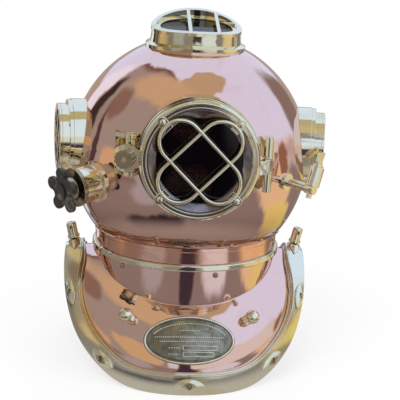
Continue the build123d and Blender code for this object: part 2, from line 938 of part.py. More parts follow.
# Nameplate and ball studs on the chest
nameplate_spot = flank_plane(0, nameplate_share)
nameplate_base_front = flank_skin(layer_gap, layer_gap + nameplate_thickness, whole_flank(0))
nameplate_raised_front = flank_skin(
    layer_gap + nameplate_thickness / 2,
    layer_gap + nameplate_thickness + nameplate_border_height,
    whole_flank(0),
)
with BuildPart() as nameplate_relief:
    with BuildSketch(nameplate_spot.offset(-nameplate_height)):
        Ellipse(nameplate_length / 2, nameplate_height / 2)
        Ellipse(nameplate_length / 2 - nameplate_border_width, nameplate_height / 2 - nameplate_border_width,
                mode=Mode.SUBTRACT)
    extrude(amount=2 * nameplate_height)
    with BuildSketch(nameplate_spot.offset(-nameplate_height)):
        for place, length, shift in nameplate_bars:
            with Locations((shift, place)):
                SlotOverall(length, nameplate_bar_height)
    extrude(amount=2 * nameplate_height)
    add(nameplate_raised_front, mode=Mode.INTERSECT)

with BuildPart() as nameplate:
    add(nameplate_base_front)
    add(oval(nameplate_spot, nameplate_length / 2, nameplate_height / 2, -nameplate_height, nameplate_height),
        mode=Mode.INTERSECT)
    add(nameplate_relief.part)

with BuildPart() as lanyard_studs:
    for side in (1, -1):
        spot = flank_plane(side * ball_stud_turn, ball_stud_share)
        add(ring(spot, 0, ball_foot_radius, -plate_wall / 2, ball_foot_height))
        add(ring(spot, 0, ball_stem_radius, 0, ball_centre_height))
        with Locations(spot.offset(ball_centre_height)):
            Sphere(ball_radius)
    add(plate_half.part, mode=Mode.SUBTRACT)

# Dome, pierced for its fittings
round_openings = (
    (front_port, front_bore_radius),
    (left_port, side_sleeve_radius),
    (right_port, side_sleeve_radius),
    (exhaust_port, exhaust_bore_radius),
    (cock_port, cock_bore_radius),
    (air_port, inlet_bore_radius),
    (phone_port, inlet_bore_radius),
)
rivet_elevation = rivet_climb - degrees(acos(neck_strip_radius / dome_radius))
rivet_spots = [
    port(number * 360 / rivet_count, rivet_elevation).offset(dome_radius) for number in range(rivet_count)
]
rivet_length = dome_wall + neck_flange_wall

with BuildPart() as bonnet_shell:
    with Locations((0, 0, dome_centre_height)):
        Sphere(dome_radius)
        Sphere(dome_inner_radius, mode=Mode.SUBTRACT)
    split(bisect_by=Plane.XY.offset(dome_foot_height), keep=Keep.TOP)
    for opening, opening_radius in round_openings:
        with BuildSketch(opening.offset(dome_inner_radius / 2)):
            Circle(opening_radius)
        extrude(amount=dome_radius, mode=Mode.SUBTRACT)
    with BuildSketch(top_port.offset(dome_inner_radius / 2)):
        Ellipse(top_opening_half_length, top_opening_half_width)
    extrude(amount=dome_radius, mode=Mode.SUBTRACT)
    add(screw_holes(rivet_spots, rivet_shank_radius, rivet_length), mode=Mode.SUBTRACT)

# Neck band, with the spigot and its thread below and the flange inside the dome above
dome_foot_drop = dome_centre_height - dome_foot_height
flange_foot_radius = sqrt(dome_inner_radius**2 - dome_foot_drop**2)
flange_head_radius = sqrt(dome_inner_radius**2 - (dome_foot_drop - neck_flange_rise) ** 2)

with BuildPart() as bonnet_neck_ring:
    with BuildSketch(radial_plane(0)):
        with BuildLine():
            Polyline(
                (neck_bore_radius, spigot_foot_height),
                (spigot_radius, spigot_foot_height),
                (spigot_radius, neck_band_foot_height),
                (neck_band_radius, neck_band_foot_height),
                (neck_band_radius, neck_groove_height),
                (neck_band_radius - neck_groove_depth, neck_groove_height),
                (neck_band_radius - neck_groove_depth, neck_groove_height + neck_groove_width),
                (neck_strip_radius, neck_groove_height + neck_groove_width),
                (neck_strip_radius, dome_foot_height),
                (flange_foot_radius, dome_foot_height),
                (flange_head_radius, dome_foot_height + neck_flange_rise),
                (flange_head_radius - neck_flange_wall, dome_foot_height + neck_flange_rise),
                (flange_foot_radius - neck_flange_wall, dome_foot_height),
                (neck_bore_radius, neck_throat_height),
                close=True,
            )
        make_face()
    revolve(axis=Axis.Z)
    add(threads(spigot_radius - running_gap, bonnet_thread_radius, spigot_foot_height))
    with Locations((0, neck_strip_radius, (catch_notch_foot_height + catch_notch_top_height) / 2)):
        Box(
            catch_width + 2 * catch_notch_side_gap,
            2 * catch_notch_depth,
            catch_notch_top_height - catch_notch_foot_height,
            mode=Mode.SUBTRACT,
        )
    add(screw_holes(rivet_spots, rivet_shank_radius, rivet_length), mode=Mode.SUBTRACT)

with BuildPart() as neck_rivets:
    add(screws(rivet_spots, rivet_head_radius, rivet_head_height, rivet_shank_radius, rivet_length - fit_gap))

# Front window: its seat on the dome
with BuildPart() as front_seat_ring:
    add(
        turned(
            front_port,
            (
                (front_bore_radius, dome_radius / 2),
                (front_seat_radius, dome_radius / 2),
                (front_seat_radius, front_seat_step_reach),
                (front_seat_lip_radius, front_seat_step_reach),
                (front_seat_lip_radius, front_seat_reach),
                (front_gasket_outer_radius + running_gap, front_seat_reach),
                (front_gasket_outer_radius + running_gap, front_seat_reach - front_gasket_depth),
                (front_gasket_inner_radius - running_gap, front_seat_reach - front_gasket_depth),
                (front_gasket_inner_radius - running_gap, front_seat_reach),
                (front_bore_radius, front_seat_reach),
            ),
        )
    )
    add(dome_ball.part, mode=Mode.SUBTRACT)

with BuildPart() as front_gasket:
    add(ring(front_port, front_gasket_inner_radius, front_gasket_outer_radius,
             front_seat_reach - front_gasket_depth, front_seat_reach))

# Front window: the door with its hinge leaf and its lug for the swing bolt
hinge_spot = Vector(hinge_reach_x, -hinge_reach_y, hinge_height)
latch_spot = Vector(-latch_reach_x, -latch_reach_y, window_height)
swing_way = port(-latch_yaw)
swing_plane = Plane(origin=latch_spot, x_dir=swing_way.x_dir, z_dir=swing_way.z_dir)

lug_front_reach = lug_rear_reach + lug_thickness
guard_lug_spots = [
    spot.offset(door_front_reach)
    for spot in around(front_port, guard_lug_place_radius, guard_lug_count, guard_turn)
]

with BuildPart() as door_lug:
    with BuildSketch(swing_plane.offset(lug_rear_reach)):
        Circle(lug_radius)
        with Locations((lug_root_length / 2, 0)):
            Rectangle(lug_root_length, lug_root_height)
        Circle(swing_shank_radius + lug_slot_gap, mode=Mode.SUBTRACT)
        with Locations((-lug_radius / 2 - cut_overrun, 0)):
            Rectangle(lug_radius + 2 * cut_overrun, 2 * (swing_shank_radius + lug_slot_gap),
                      mode=Mode.SUBTRACT)
    extrude(amount=lug_thickness)
    with BuildSketch(Plane(origin=latch_spot, x_dir=swing_plane.x_dir).offset(-lug_radius - cut_overrun)):
        with Locations((-lug_front_reach / 2, -lug_front_reach / 2)):
            Rectangle(lug_front_reach, lug_front_reach + 2 * cut_overrun)
        Circle(lug_front_reach, mode=Mode.SUBTRACT)
    extrude(amount=2 * (lug_radius + cut_overrun), mode=Mode.SUBTRACT)

with BuildPart() as faceplate_ring:
    add(
        turned(
            front_port,
            (
                (door_glass_radius + fit_gap, door_rear_reach),
                (door_radius, door_rear_reach),
                (door_radius, door_front_reach - door_edge_bevel),
                (door_radius - door_edge_bevel, door_front_reach),
                (door_face_inner_radius, door_front_reach),
                (door_sight_radius, door_front_reach - door_sight_depth),
                (door_sight_radius, door_lip_reach),
                (door_glass_radius + fit_gap, door_lip_reach),
            ),
        )
    )
    with BuildSketch(Plane.XY.offset(hinge_height - hinge_leaf_height / 2)):
        with Locations((hinge_spot.X, hinge_spot.Y)):
            Circle(hinge_barrel_radius)
        with BuildLine():
            Polyline(
                (door_radius - hinge_leaf_root, -door_rear_reach),
                (door_radius + hinge_leaf_neck, -door_rear_reach),
                (hinge_spot.X - hinge_barrel_radius, hinge_spot.Y),
                (hinge_spot.X + hinge_barrel_radius, hinge_spot.Y),
                (hinge_spot.X, -door_rear_reach - hinge_leaf_thickness / 2),
                (door_radius + hinge_leaf_neck, -door_rear_reach - hinge_leaf_thickness),
                (door_radius - hinge_leaf_root, -door_rear_reach - hinge_leaf_thickness),
                close=True,
            )
        make_face()
    extrude(amount=hinge_leaf_height)
    add(door_lug.part)
    dimple_spot = Plane(
        origin=(hinge_leaf_dimple_place, -door_rear_reach - hinge_leaf_thickness, hinge_height),
        x_dir=(1, 0, 0),
        z_dir=(0, -1, 0),
    )
    add(ring(dimple_spot, 0, hinge_leaf_dimple_radius, -hinge_leaf_dimple_depth, cut_overrun),
        mode=Mode.SUBTRACT)
    add(ring(Plane(origin=hinge_spot), 0, hinge_pin_radius + fit_gap, -hinge_leaf_height, hinge_leaf_height),
        mode=Mode.SUBTRACT)
    add(screw_holes(guard_lug_spots, guard_screw_shank_radius, guard_screw_length - guard_lug_thickness),
        mode=Mode.SUBTRACT)

door_glass_rear_reach = door_lip_reach - door_glass_thickness

with BuildPart() as faceplate_glass:
    add(ring(front_port, 0, door_glass_radius, door_glass_rear_reach, door_lip_reach))

with BuildPart() as faceplate_retainer:
    add(ring(front_port, door_retainer_bore_radius, door_glass_radius,
             door_rear_reach + door_retainer_set_back, door_glass_rear_reach))

guard_screw_spots = [spot.offset(guard_lug_thickness) for spot in guard_lug_spots]


def guard_loop(plane, turn, reach):
    """Closed loop of guard wire, long along the turn in the plane."""
    loop_plane = spun(plane.offset(reach), turn)
    half_run = (guard_loop_length - guard_loop_width) / 2
    half_width = guard_loop_width / 2
    start = loop_plane.from_local_coords(Vector(0, -half_width, 0))
    with BuildPart() as loop:
        with BuildLine(loop_plane):
            Line((0, -half_width), (half_run, -half_width))
            ThreePointArc((half_run, -half_width), (half_run + half_width, 0), (half_run, half_width))
            Line((half_run, half_width), (-half_run, half_width))
            ThreePointArc((-half_run, half_width), (-half_run - half_width, 0), (-half_run, -half_width))
            Line((-half_run, -half_width), (0, -half_width))
        with BuildSketch(Plane(origin=start, z_dir=loop_plane.x_dir)):
            Circle(guard_wire_radius)
        sweep()
    return loop.part


guard_loop_reach = door_front_reach + guard_wire_radius + guard_loop_lift

with BuildPart() as faceplate_guard:
    add(guard_loop(front_port, guard_turn, guard_loop_reach))
    add(guard_loop(front_port, -guard_turn, guard_loop_reach + guard_loop_step))
    for spot in guard_lug_spots:
        add(ring(spot, 0, guard_lug_radius, 0, guard_lug_thickness))
    add(screw_holes(guard_screw_spots, guard_screw_shank_radius, guard_lug_thickness + fit_gap),
        mode=Mode.SUBTRACT)

with BuildPart() as guard_screws:
    add(screws(guard_screw_spots, guard_screw_head_radius, guard_screw_head_height,
               guard_screw_shank_radius, guard_screw_length))

# Hinge of the front window: two knuckles on arms from the dome, and the pin
front_seat_room = ring(front_port, 0, front_seat_radius + running_gap, 0, door_front_reach)
knuckle_offset = hinge_leaf_height / 2 + running_gap

with BuildPart() as hinge_lugs:
    for foot in (knuckle_offset, -knuckle_offset - hinge_knuckle_height):
        with BuildSketch(Plane.XY.offset(hinge_height + foot)):
            with Locations((hinge_spot.X, hinge_spot.Y)):
                Circle(hinge_barrel_radius)
            with BuildLine():
                back = hinge_spot.Y + hinge_arm_depth
                Polyline(
                    (hinge_spot.X - hinge_barrel_radius, hinge_spot.Y),
                    (hinge_spot.X + hinge_barrel_radius, hinge_spot.Y),
                    (hinge_spot.X + hinge_arm_spread, back),
                    (hinge_spot.X - hinge_arm_spread, back),
                    close=True,
                )
            make_face()
        extrude(amount=hinge_knuckle_height)
    add(dome_ball.part, mode=Mode.SUBTRACT)
    add(front_seat_room, mode=Mode.SUBTRACT)
    hinge_reach = hinge_leaf_height + hinge_knuckle_height
    add(ring(Plane(origin=hinge_spot), 0, hinge_pin_radius + fit_gap, -hinge_reach, hinge_reach),
        mode=Mode.SUBTRACT)

hinge_half_height = knuckle_offset + hinge_knuckle_height

with BuildPart() as hinge_pin:
    add(ring(Plane(origin=hinge_spot), 0, hinge_pin_radius, -hinge_half_height, hinge_half_height))
    add(ring(Plane(origin=hinge_spot), 0, hinge_pin_head_radius, hinge_half_height,
             hinge_half_height + hinge_pin_head_height))

# Swing bolt on the other side: its clevis on the dome, pin, bolt and nut
latch_axis = Plane(origin=latch_spot)
latch_half_height = latch_clevis_height / 2

with BuildPart() as latch_lugs:
    with BuildSketch(Plane.XY.offset(window_height - latch_half_height)):
        with Locations((latch_spot.X, latch_spot.Y)):
            Circle(latch_ear_edge)
        with BuildLine():
            Polyline(
                (latch_spot.X - latch_ear_edge, latch_spot.Y),
                (latch_spot.X + latch_ear_edge, latch_spot.Y),
                (-latch_back_right, -latch_back_reach_y),
                (-latch_back_right, latch_back_depth - latch_back_reach_y),
                (-latch_back_left, latch_back_depth - latch_back_reach_y),
                (-latch_back_left, -latch_back_reach_y),
                close=True,
            )
        make_face()
    extrude(amount=latch_clevis_height)
    with BuildSketch(Plane.XY.offset(window_height - latch_half_height + latch_ear_thickness)):
        with Locations(((-latch_back_left - latch_back_right) / 2, -latch_back_reach_y - latch_back_depth)):
            Rectangle(2 * latch_back_left, 2 * latch_back_depth)
    extrude(amount=latch_clevis_height - 2 * latch_ear_thickness, mode=Mode.SUBTRACT)
    add(dome_ball.part, mode=Mode.SUBTRACT)
    add(front_seat_room, mode=Mode.SUBTRACT)
    add(ring(latch_axis, 0, latch_pin_radius + fit_gap, -latch_clevis_height, latch_clevis_height),
        mode=Mode.SUBTRACT)

with BuildPart() as latch_pin:
    add(ring(latch_axis, 0, latch_pin_radius, -latch_half_height, latch_half_height))
    add(ring(latch_axis, 0, latch_pin_head_radius, latch_half_height,
             latch_half_height + latch_pin_head_height))

swing_eye_half_height = latch_half_height - latch_ear_thickness - running_gap

with BuildPart() as swing_bolt:
    add(ring(latch_axis, 0, swing_eye_radius, -swing_eye_half_height, swing_eye_half_height))
    add(ring(swing_plane, 0, swing_shank_radius, 0, swing_tip_reach))
    add(ring(latch_axis, 0, latch_pin_radius + fit_gap, -latch_clevis_height, latch_clevis_height),
        mode=Mode.SUBTRACT)

latch_nut_foot_reach = lug_front_reach + running_gap
latch_nut_front_reach = latch_nut_foot_reach + latch_nut_height

with BuildPart() as latch_nut:
    add(ring(swing_plane, swing_shank_radius + fit_gap, latch_nut_radius, latch_nut_foot_reach,
             latch_nut_front_reach - latch_nut_mouth_depth))
    add(ring(swing_plane, latch_nut_mouth_radius, latch_nut_radius,
             latch_nut_front_reach - latch_nut_mouth_depth, latch_nut_front_reach))
    add(flutes(swing_plane, latch_nut_radius, latch_nut_flute_count, latch_nut_flute_share,
               latch_nut_foot_reach - cut_overrun, latch_nut_front_reach + cut_overrun,
               latch_nut_flute_radius),
        mode=Mode.SUBTRACT)


# Side windows, alike on the left and right
side_glass_front_reach = side_recess_reach + side_gasket_thickness + side_glass_thickness
side_bezel_reach = side_seat_reach + side_bezel_flange_height


def side_screw_spots(plane):
    """Where the screws of a side window's bezel go."""
    spots = around(plane, side_screw_place_radius, side_screw_count, side_screw_turn)
    return [spot.offset(side_bezel_reach) for spot in spots]


def side_seat(plane):
    """Seat of a side window: a sleeve in the dome with a flange that follows it."""
    with BuildPart() as seat:
        add(turned(plane, (
            (side_sleeve_radius, dome_radius / 2),
            (side_seat_radius, dome_radius / 2),
            (side_seat_radius, side_seat_reach),
            (side_sleeve_radius, side_seat_reach),
        )))
        add(dome_ball.part, mode=Mode.SUBTRACT)
        add(turned(plane, (
            (side_bore_radius, side_sleeve_reach),
            (side_sleeve_radius, side_sleeve_reach),
            (side_sleeve_radius, side_seat_reach),
            (side_recess_radius, side_seat_reach),
            (side_recess_radius, side_recess_reach),
            (side_bore_radius, side_recess_reach),
        )))
    return seat.part


def side_glass(plane):
    """Flat glass of a side window."""
    rear_reach = side_recess_reach + side_gasket_thickness
    return ring(plane, 0, side_glass_radius, rear_reach, side_glass_front_reach)


def side_bezel(plane):
    """Stepped ring that holds a side window's glass."""
    with BuildPart() as bezel:
        add(turned(plane, (
            (side_crown_inner_radius, side_glass_front_reach + 2 * fit_gap),
            (side_recess_radius, side_glass_front_reach + 2 * fit_gap),
            (side_recess_radius, side_seat_reach),
            (side_bezel_radius, side_seat_reach),
            (side_bezel_radius, side_bezel_reach),
            (side_crown_radius, side_bezel_reach),
            (side_crown_radius, side_crown_reach),
            (side_crown_inner_radius, side_crown_reach),
        )))
        add(screw_holes(side_screw_spots(plane), side_screw_shank_radius, side_screw_length),
            mode=Mode.SUBTRACT)
    return bezel.part


def side_guard(plane):
    """Ring with two crossing pairs of bars over a side window."""
    top = side_crown_reach + side_guard_height
    with BuildPart() as guard:
        for turn in (side_guard_turn, -side_guard_turn):
            with BuildSketch(spun(plane.offset(top - side_guard_bar_height), turn)):
                with Locations((0, side_guard_bar_place), (0, -side_guard_bar_place)):
                    Rectangle(2 * side_crown_radius, side_guard_bar_width)
            extrude(amount=side_guard_bar_height)
        add(ring(plane, 0, side_crown_inner_radius + fit_gap, side_crown_reach, top), mode=Mode.INTERSECT)
        add(ring(plane, side_crown_inner_radius, side_crown_radius, side_crown_reach, top))
    return guard.part


with BuildPart() as left_window_seat:
    add(side_seat(left_port))

with BuildPart() as right_window_seat:
    add(side_seat(right_port))

with BuildPart() as left_window_glass:
    add(side_glass(left_port))

with BuildPart() as right_window_glass:
    add(side_glass(right_port))

with BuildPart() as left_window_bezel:
    add(side_bezel(left_port))

with BuildPart() as right_window_bezel:
    add(side_bezel(right_port))

with BuildPart() as left_window_guard:
    add(side_guard(left_port))

with BuildPart() as right_window_guard:
    add(side_guard(right_port))

# Top window: an oval turret with an arched lip, glass deep inside and two bars across
top_arch_centre = top_reach - top_arch_radius
top_arch_plane = Plane(
    origin=top_port.from_local_coords(Vector(0, -top_flange_half_length, top_arch_centre)),
    x_dir=top_port.x_dir,
    z_dir=top_port.y_dir,
)
top_arch = ring(top_arch_plane, 0, top_arch_radius, 0, 2 * top_flange_half_length)
top_lip_band = ring(top_arch_plane, top_arch_radius - top_lip_thickness, top_arch_radius, 0,
                    2 * top_flange_half_length)
top_bar_band = ring(top_arch_plane, top_arch_radius - top_bar_thickness, top_arch_radius, 0,
                    2 * top_flange_half_length)
top_glass_foot_reach = top_ledge_reach + top_gasket_thickness
top_glass_head_reach = top_glass_foot_reach + top_glass_thickness

with BuildPart() as top_flange:
    with Locations((0, 0, dome_centre_height)):
        Sphere(dome_radius + top_flange_thickness)
    add(oval(top_port, top_flange_half_length, top_flange_half_width, dome_radius / 2,
             dome_radius + top_flange_thickness + cut_overrun), mode=Mode.INTERSECT)

with BuildPart() as top_lip:
    add(oval(top_port, top_lip_half_length, top_lip_half_width, dome_radius, top_reach + cut_overrun))
    add(top_lip_band, mode=Mode.INTERSECT)

with BuildPart() as top_window_guard:
    for bar_place in (top_bar_middle - top_bar_spacing / 2, top_bar_middle + top_bar_spacing / 2):
        bar_share = top_bar_half_length_share * sqrt(1 - (bar_place / top_lip_half_length) ** 2)
        with BuildSketch(top_port.offset(dome_radius)):
            with Locations((bar_place, 0)):
                Rectangle(top_bar_width, 2 * top_lip_half_width * bar_share)
        extrude(amount=top_reach + cut_overrun - dome_radius)
    add(top_bar_band, mode=Mode.INTERSECT)

top_screw_spots = []
for across, along in top_screw_places:
    out = sqrt((dome_radius + top_flange_thickness) ** 2 - across**2 - (along + top_set_back) ** 2)
    place = top_port.from_local_coords(Vector(across, along, out))
    top_screw_spots.append(Plane(origin=place, z_dir=place - top_axis.origin))

with BuildPart() as top_window_frame:
    with BuildSketch(top_port.offset(top_wall_foot_reach)):
        Ellipse(top_wall_foot_half_length, top_wall_foot_half_width)
    with BuildSketch(top_port.offset(top_reach + cut_overrun)):
        Ellipse(top_wall_head_half_length, top_wall_head_half_width)
    loft()
    add(top_arch, mode=Mode.INTERSECT)
    add(top_flange.part)
    add(top_lip.part)
    add(oval(top_port, top_bore_half_length, top_bore_half_width, top_ledge_reach, top_reach + cut_overrun),
        mode=Mode.SUBTRACT)
    add(oval(top_port, top_opening_half_length, top_opening_half_width, dome_radius / 2, top_reach),
        mode=Mode.SUBTRACT)
    add(dome_ball.part, mode=Mode.SUBTRACT)
    add(top_window_guard.part, mode=Mode.SUBTRACT)
    add(screw_holes(top_screw_spots, top_screw_shank_radius, top_screw_length), mode=Mode.SUBTRACT)

with BuildPart() as top_window_glass:
    add(oval(top_port, top_bore_half_length - fit_gap, top_bore_half_width - fit_gap, top_glass_foot_reach,
             top_glass_head_reach))

with BuildPart() as top_window_retainer:
    add(oval(top_port, top_bore_half_length - fit_gap, top_bore_half_width - fit_gap, top_glass_head_reach,
             top_glass_head_reach + top_retainer_thickness))
    add(oval(top_port, top_bore_half_length - top_retainer_width, top_bore_half_width - top_retainer_width,
             top_glass_foot_reach, top_reach), mode=Mode.SUBTRACT)

with BuildPart() as window_gaskets:
    for plane in (left_port, right_port):
        add(ring(plane, side_gasket_inner_radius, side_glass_radius, side_recess_reach,
                 side_recess_reach + side_gasket_thickness))
    add(oval(top_port, top_bore_half_length - fit_gap, top_bore_half_width - fit_gap, top_ledge_reach,
             top_glass_foot_reach))
    add(oval(top_port, top_opening_half_length, top_opening_half_width, dome_radius, top_glass_foot_reach),
        mode=Mode.SUBTRACT)

with BuildPart() as window_screws:
    for plane in (left_port, right_port):
        add(screws(side_screw_spots(plane), side_screw_head_radius, side_screw_head_height,
                   side_screw_shank_radius, side_screw_length))
    add(screws(top_screw_spots, top_screw_head_radius, top_screw_head_height, top_screw_shank_radius,
               top_screw_length))

# Exhaust valve: body with its seat and guide, cap, wheel, chin valve and spring
exhaust_seat_top_reach = exhaust_seat_reach + exhaust_seat_thickness
exhaust_cone_reach = exhaust_flange_reach + (exhaust_flange_radius - exhaust_body_radius) / 2

with BuildPart() as exhaust_body:
    add(turned(exhaust_port, (
        (exhaust_bore_radius, dome_radius / 2),
        (exhaust_flange_radius, dome_radius / 2),
        (exhaust_flange_radius, exhaust_flange_reach),
        (exhaust_body_radius, exhaust_cone_reach),
        (exhaust_body_radius, exhaust_body_reach),
        (exhaust_chamber_radius, exhaust_body_reach),
        (exhaust_chamber_radius, exhaust_seat_top_reach),
        (exhaust_seat_bore_radius, exhaust_seat_top_reach),
        (exhaust_seat_bore_radius, exhaust_seat_reach),
        (exhaust_bore_radius, exhaust_seat_reach),
    )))
    add(dome_ball.part, mode=Mode.SUBTRACT)
    for index in range(chin_spoke_count):
        turn = index * 360 / chin_spoke_count
        with BuildSketch(spun(exhaust_port.offset(exhaust_seat_reach - chin_guide_depth), turn)):
            with Locations(((exhaust_bore_radius + chin_spoke_width / 4) / 2, 0)):
                Rectangle(exhaust_bore_radius + chin_spoke_width / 4, chin_spoke_width)
        extrude(amount=chin_guide_depth)
    add(ring(exhaust_port, 0, chin_guide_radius, exhaust_seat_reach - chin_guide_depth, exhaust_seat_reach))
    add(ring(exhaust_port, 0, chin_stem_radius + fit_gap, dome_radius / 2, exhaust_body_reach),
        mode=Mode.SUBTRACT)
    exhaust_way = exhaust_port.offset(exhaust_port_reach)
    for index in range(exhaust_port_count):
        angle = radians(exhaust_port_first + index * exhaust_port_spacing)
        outward = exhaust_way.x_dir * cos(angle) + exhaust_way.y_dir * sin(angle)
        start = exhaust_way.origin + outward * (exhaust_chamber_radius - cut_overrun)
        with BuildSketch(Plane(origin=start, z_dir=outward)):
            Circle(exhaust_port_radius)
        extrude(amount=exhaust_body_radius - exhaust_chamber_radius + 2 * cut_overrun, mode=Mode.SUBTRACT)

exhaust_shoulder_reach = exhaust_body_reach + exhaust_cap_height

with BuildPart() as exhaust_cap:
    add(turned(exhaust_port, (
        (wheel_stem_radius + fit_gap, exhaust_body_reach),
        (exhaust_cap_radius - exhaust_cap_bevel, exhaust_body_reach),
        (exhaust_cap_radius, exhaust_body_reach + exhaust_cap_bevel),
        (exhaust_cap_radius, exhaust_shoulder_reach),
        (exhaust_cap_nose_radius, exhaust_shoulder_reach + exhaust_cap_bevel),
        (exhaust_cap_nose_end_radius, exhaust_shoulder_reach + exhaust_cap_nose_height),
        (wheel_stem_radius + fit_gap, exhaust_shoulder_reach + exhaust_cap_nose_height),
    )))

with BuildPart() as exhaust_stem:
    add(ring(exhaust_port, 0, wheel_stem_radius, wheel_stem_inner_reach, wheel_reach + wheel_thickness))

with BuildPart() as exhaust_wheel:
    with BuildSketch(exhaust_port.offset(wheel_reach)) as wheel_outline:
        Circle(wheel_valley_radius)
        with PolarLocations(wheel_radius - wheel_lobe_radius, wheel_lobe_count, start_angle=90):
            Circle(wheel_lobe_radius)
        fillet(wheel_outline.vertices(), radius=wheel_valley_fillet)
    extrude(amount=wheel_thickness)
    fillet(faces().filter_by(GeomType.PLANE).edges(), radius=wheel_edge_fillet)
    add(ring(exhaust_port, 0, wheel_hub_radius, wheel_reach, wheel_reach + wheel_thickness + wheel_hub_rise))
    add(ring(exhaust_port, 0, wheel_stem_radius, wheel_reach - cut_overrun, wheel_reach + wheel_thickness),
        mode=Mode.SUBTRACT)

chin_disc_reach = exhaust_seat_top_reach + running_gap
chin_disc_top_reach = chin_disc_reach + chin_disc_thickness

with BuildPart() as chin_valve:
    add(ring(exhaust_port, 0, chin_disc_radius, chin_disc_reach, chin_disc_top_reach))
    add(ring(exhaust_port, 0, chin_stem_radius, chin_stem_inner_reach, chin_disc_top_reach))
    add(ring(exhaust_port, 0, chin_button_radius, chin_stem_inner_reach,
             chin_stem_inner_reach + chin_button_thickness))

spring_rise = spring_height - 2 * spring_wire_radius
spring_pitch = spring_rise / spring_turns
spring_foot = exhaust_port.offset(chin_disc_top_reach + spring_wire_radius + fit_gap)

with BuildPart() as exhaust_spring:
    with BuildLine():
        coil = Helix(
            pitch=spring_pitch,
            height=spring_rise,
            radius=spring_radius,
            center=spring_foot.origin,
            direction=spring_foot.z_dir,
        )
    with BuildSketch(Plane(origin=coil @ 0, z_dir=coil % 0)):
        Circle(spring_wire_radius)
    sweep(is_frenet=True)

# Spit cock: tube out of the dome, a leaning barrel with its nozzle, and the plug with its lever
cock_up = cock_port.y_dir * cos(radians(cock_lean)) + cock_port.x_dir * sin(radians(cock_lean))
cock_axis = Plane(origin=cock_port.offset(cock_barrel_reach).origin, x_dir=cock_port.z_dir, z_dir=cock_up)

with BuildPart() as spit_cock_body:
    add(ring(cock_port, 0, cock_flange_radius, dome_radius / 2, cock_flange_reach))
    add(dome_ball.part, mode=Mode.SUBTRACT)
    add(ring(cock_port, 0, cock_tube_radius, cock_flange_reach - cut_overrun / 2, cock_barrel_reach))
    add(ring(cock_port, 0, cock_collar_radius, cock_collar_reach, cock_collar_reach + cock_collar_length))
    add(ring(cock_axis, 0, cock_barrel_radius, cock_barrel_foot, cock_barrel_head))
    add(ring(cock_axis, 0, cock_nozzle_radius, -cock_nozzle_length, cock_barrel_foot))
    add(ring(cock_port, 0, cock_bore_radius, dome_radius / 2, cock_barrel_reach), mode=Mode.SUBTRACT)
    add(ring(cock_axis, 0, cock_plug_radius + fit_gap, -cock_plug_depth, cock_barrel_head),
        mode=Mode.SUBTRACT)
    add(ring(cock_axis, 0, cock_nozzle_bore_radius, -cock_nozzle_length, 0), mode=Mode.SUBTRACT)

cock_cap_reach = cock_barrel_head + running_gap
cock_lever_foot = cock_cap_reach + cock_cap_height
cock_lever_plane = Plane(origin=cock_axis.origin, x_dir=cock_axis.y_dir, z_dir=cock_axis.x_dir)

with BuildPart() as spit_cock_plug:
    add(ring(cock_axis, 0, cock_plug_radius, running_gap - cock_plug_depth, cock_cap_reach))
    add(ring(cock_axis, 0, cock_cap_radius, cock_cap_reach, cock_lever_foot))
    with BuildSketch(cock_lever_plane.offset(-cock_lever_thickness / 2)):
        with BuildLine():
            head = cock_lever_foot + cock_lever_length
            Polyline(
                (-cock_lever_root_width / 2, cock_lever_foot),
                (cock_lever_root_width / 2, cock_lever_foot),
                (cock_lever_width / 2, head - cock_lever_width / 2),
                (cock_lever_width / 2, head),
                (-cock_lever_width / 2, head),
                (-cock_lever_width / 2, head - cock_lever_width / 2),
                close=True,
            )
        make_face()
    extrude(amount=cock_lever_thickness)
    add(ring(cock_port, 0, cock_nozzle_bore_radius, cock_barrel_reach - cock_barrel_radius,
             cock_barrel_reach), mode=Mode.SUBTRACT)
    add(ring(cock_axis, 0, cock_nozzle_bore_radius, -cock_plug_depth, 0), mode=Mode.SUBTRACT)

# Air inlet behind, with its flap that lets air in only
with BuildPart() as air_elbow:
    add(inlet_elbow(inlet_turn, inlet_thread_radius, inlet_thread_length))
    add(dome_ball.part, mode=Mode.SUBTRACT)
    add(inlet_bore(inlet_turn, inlet_bore_radius, inlet_mouth_radius), mode=Mode.SUBTRACT)

inlet_foot_height = dome_centre_height + inlet_rise - inlet_bend_radius - inlet_stub_length
flap_height = inlet_foot_height + inlet_mouth_length + running_gap
air_upright = radial_plane(inlet_turn, flap_height)
flap_middle = air_upright.from_local_coords(Vector(inlet_down_reach, 0, 0))
flap_pivot_reach = inlet_down_reach - flap_pivot_set_in
flap_pivot = air_upright.from_local_coords(Vector(flap_pivot_reach, flap_thickness / 2, 0))

with BuildPart() as air_check_flap:
    add(ring(Plane(origin=flap_middle), 0, flap_radius, 0, flap_thickness))
    add(ring(Plane(origin=flap_pivot, z_dir=air_upright.z_dir), 0, flap_pin_radius, -flap_pin_half_length,
             flap_pin_half_length))

# Telephone inlet on the other side, with its gland nut
with BuildPart() as phone_elbow:
    add(inlet_elbow(-inlet_turn, inlet_thread_radius, inlet_thread_length))
    add(dome_ball.part, mode=Mode.SUBTRACT)
    add(inlet_bore(-inlet_turn, inlet_bore_radius, inlet_mouth_radius), mode=Mode.SUBTRACT)

phone_spot = radial_plane(-inlet_turn).from_local_coords(Vector(inlet_down_reach, inlet_foot_height, 0))
gland_axis = Plane(origin=phone_spot)

with BuildPart() as phone_gland:
    add(ring(gland_axis, gland_bore_radius, gland_radius, -gland_end_wall, 0))
    add(ring(gland_axis, inlet_thread_radius + fit_gap, gland_radius, 0, gland_length - gland_end_wall))
    add(flutes(gland_axis, gland_radius, gland_flute_count, gland_flute_share, -gland_end_wall - cut_overrun,
               gland_length, gland_flute_radius), mode=Mode.SUBTRACT)

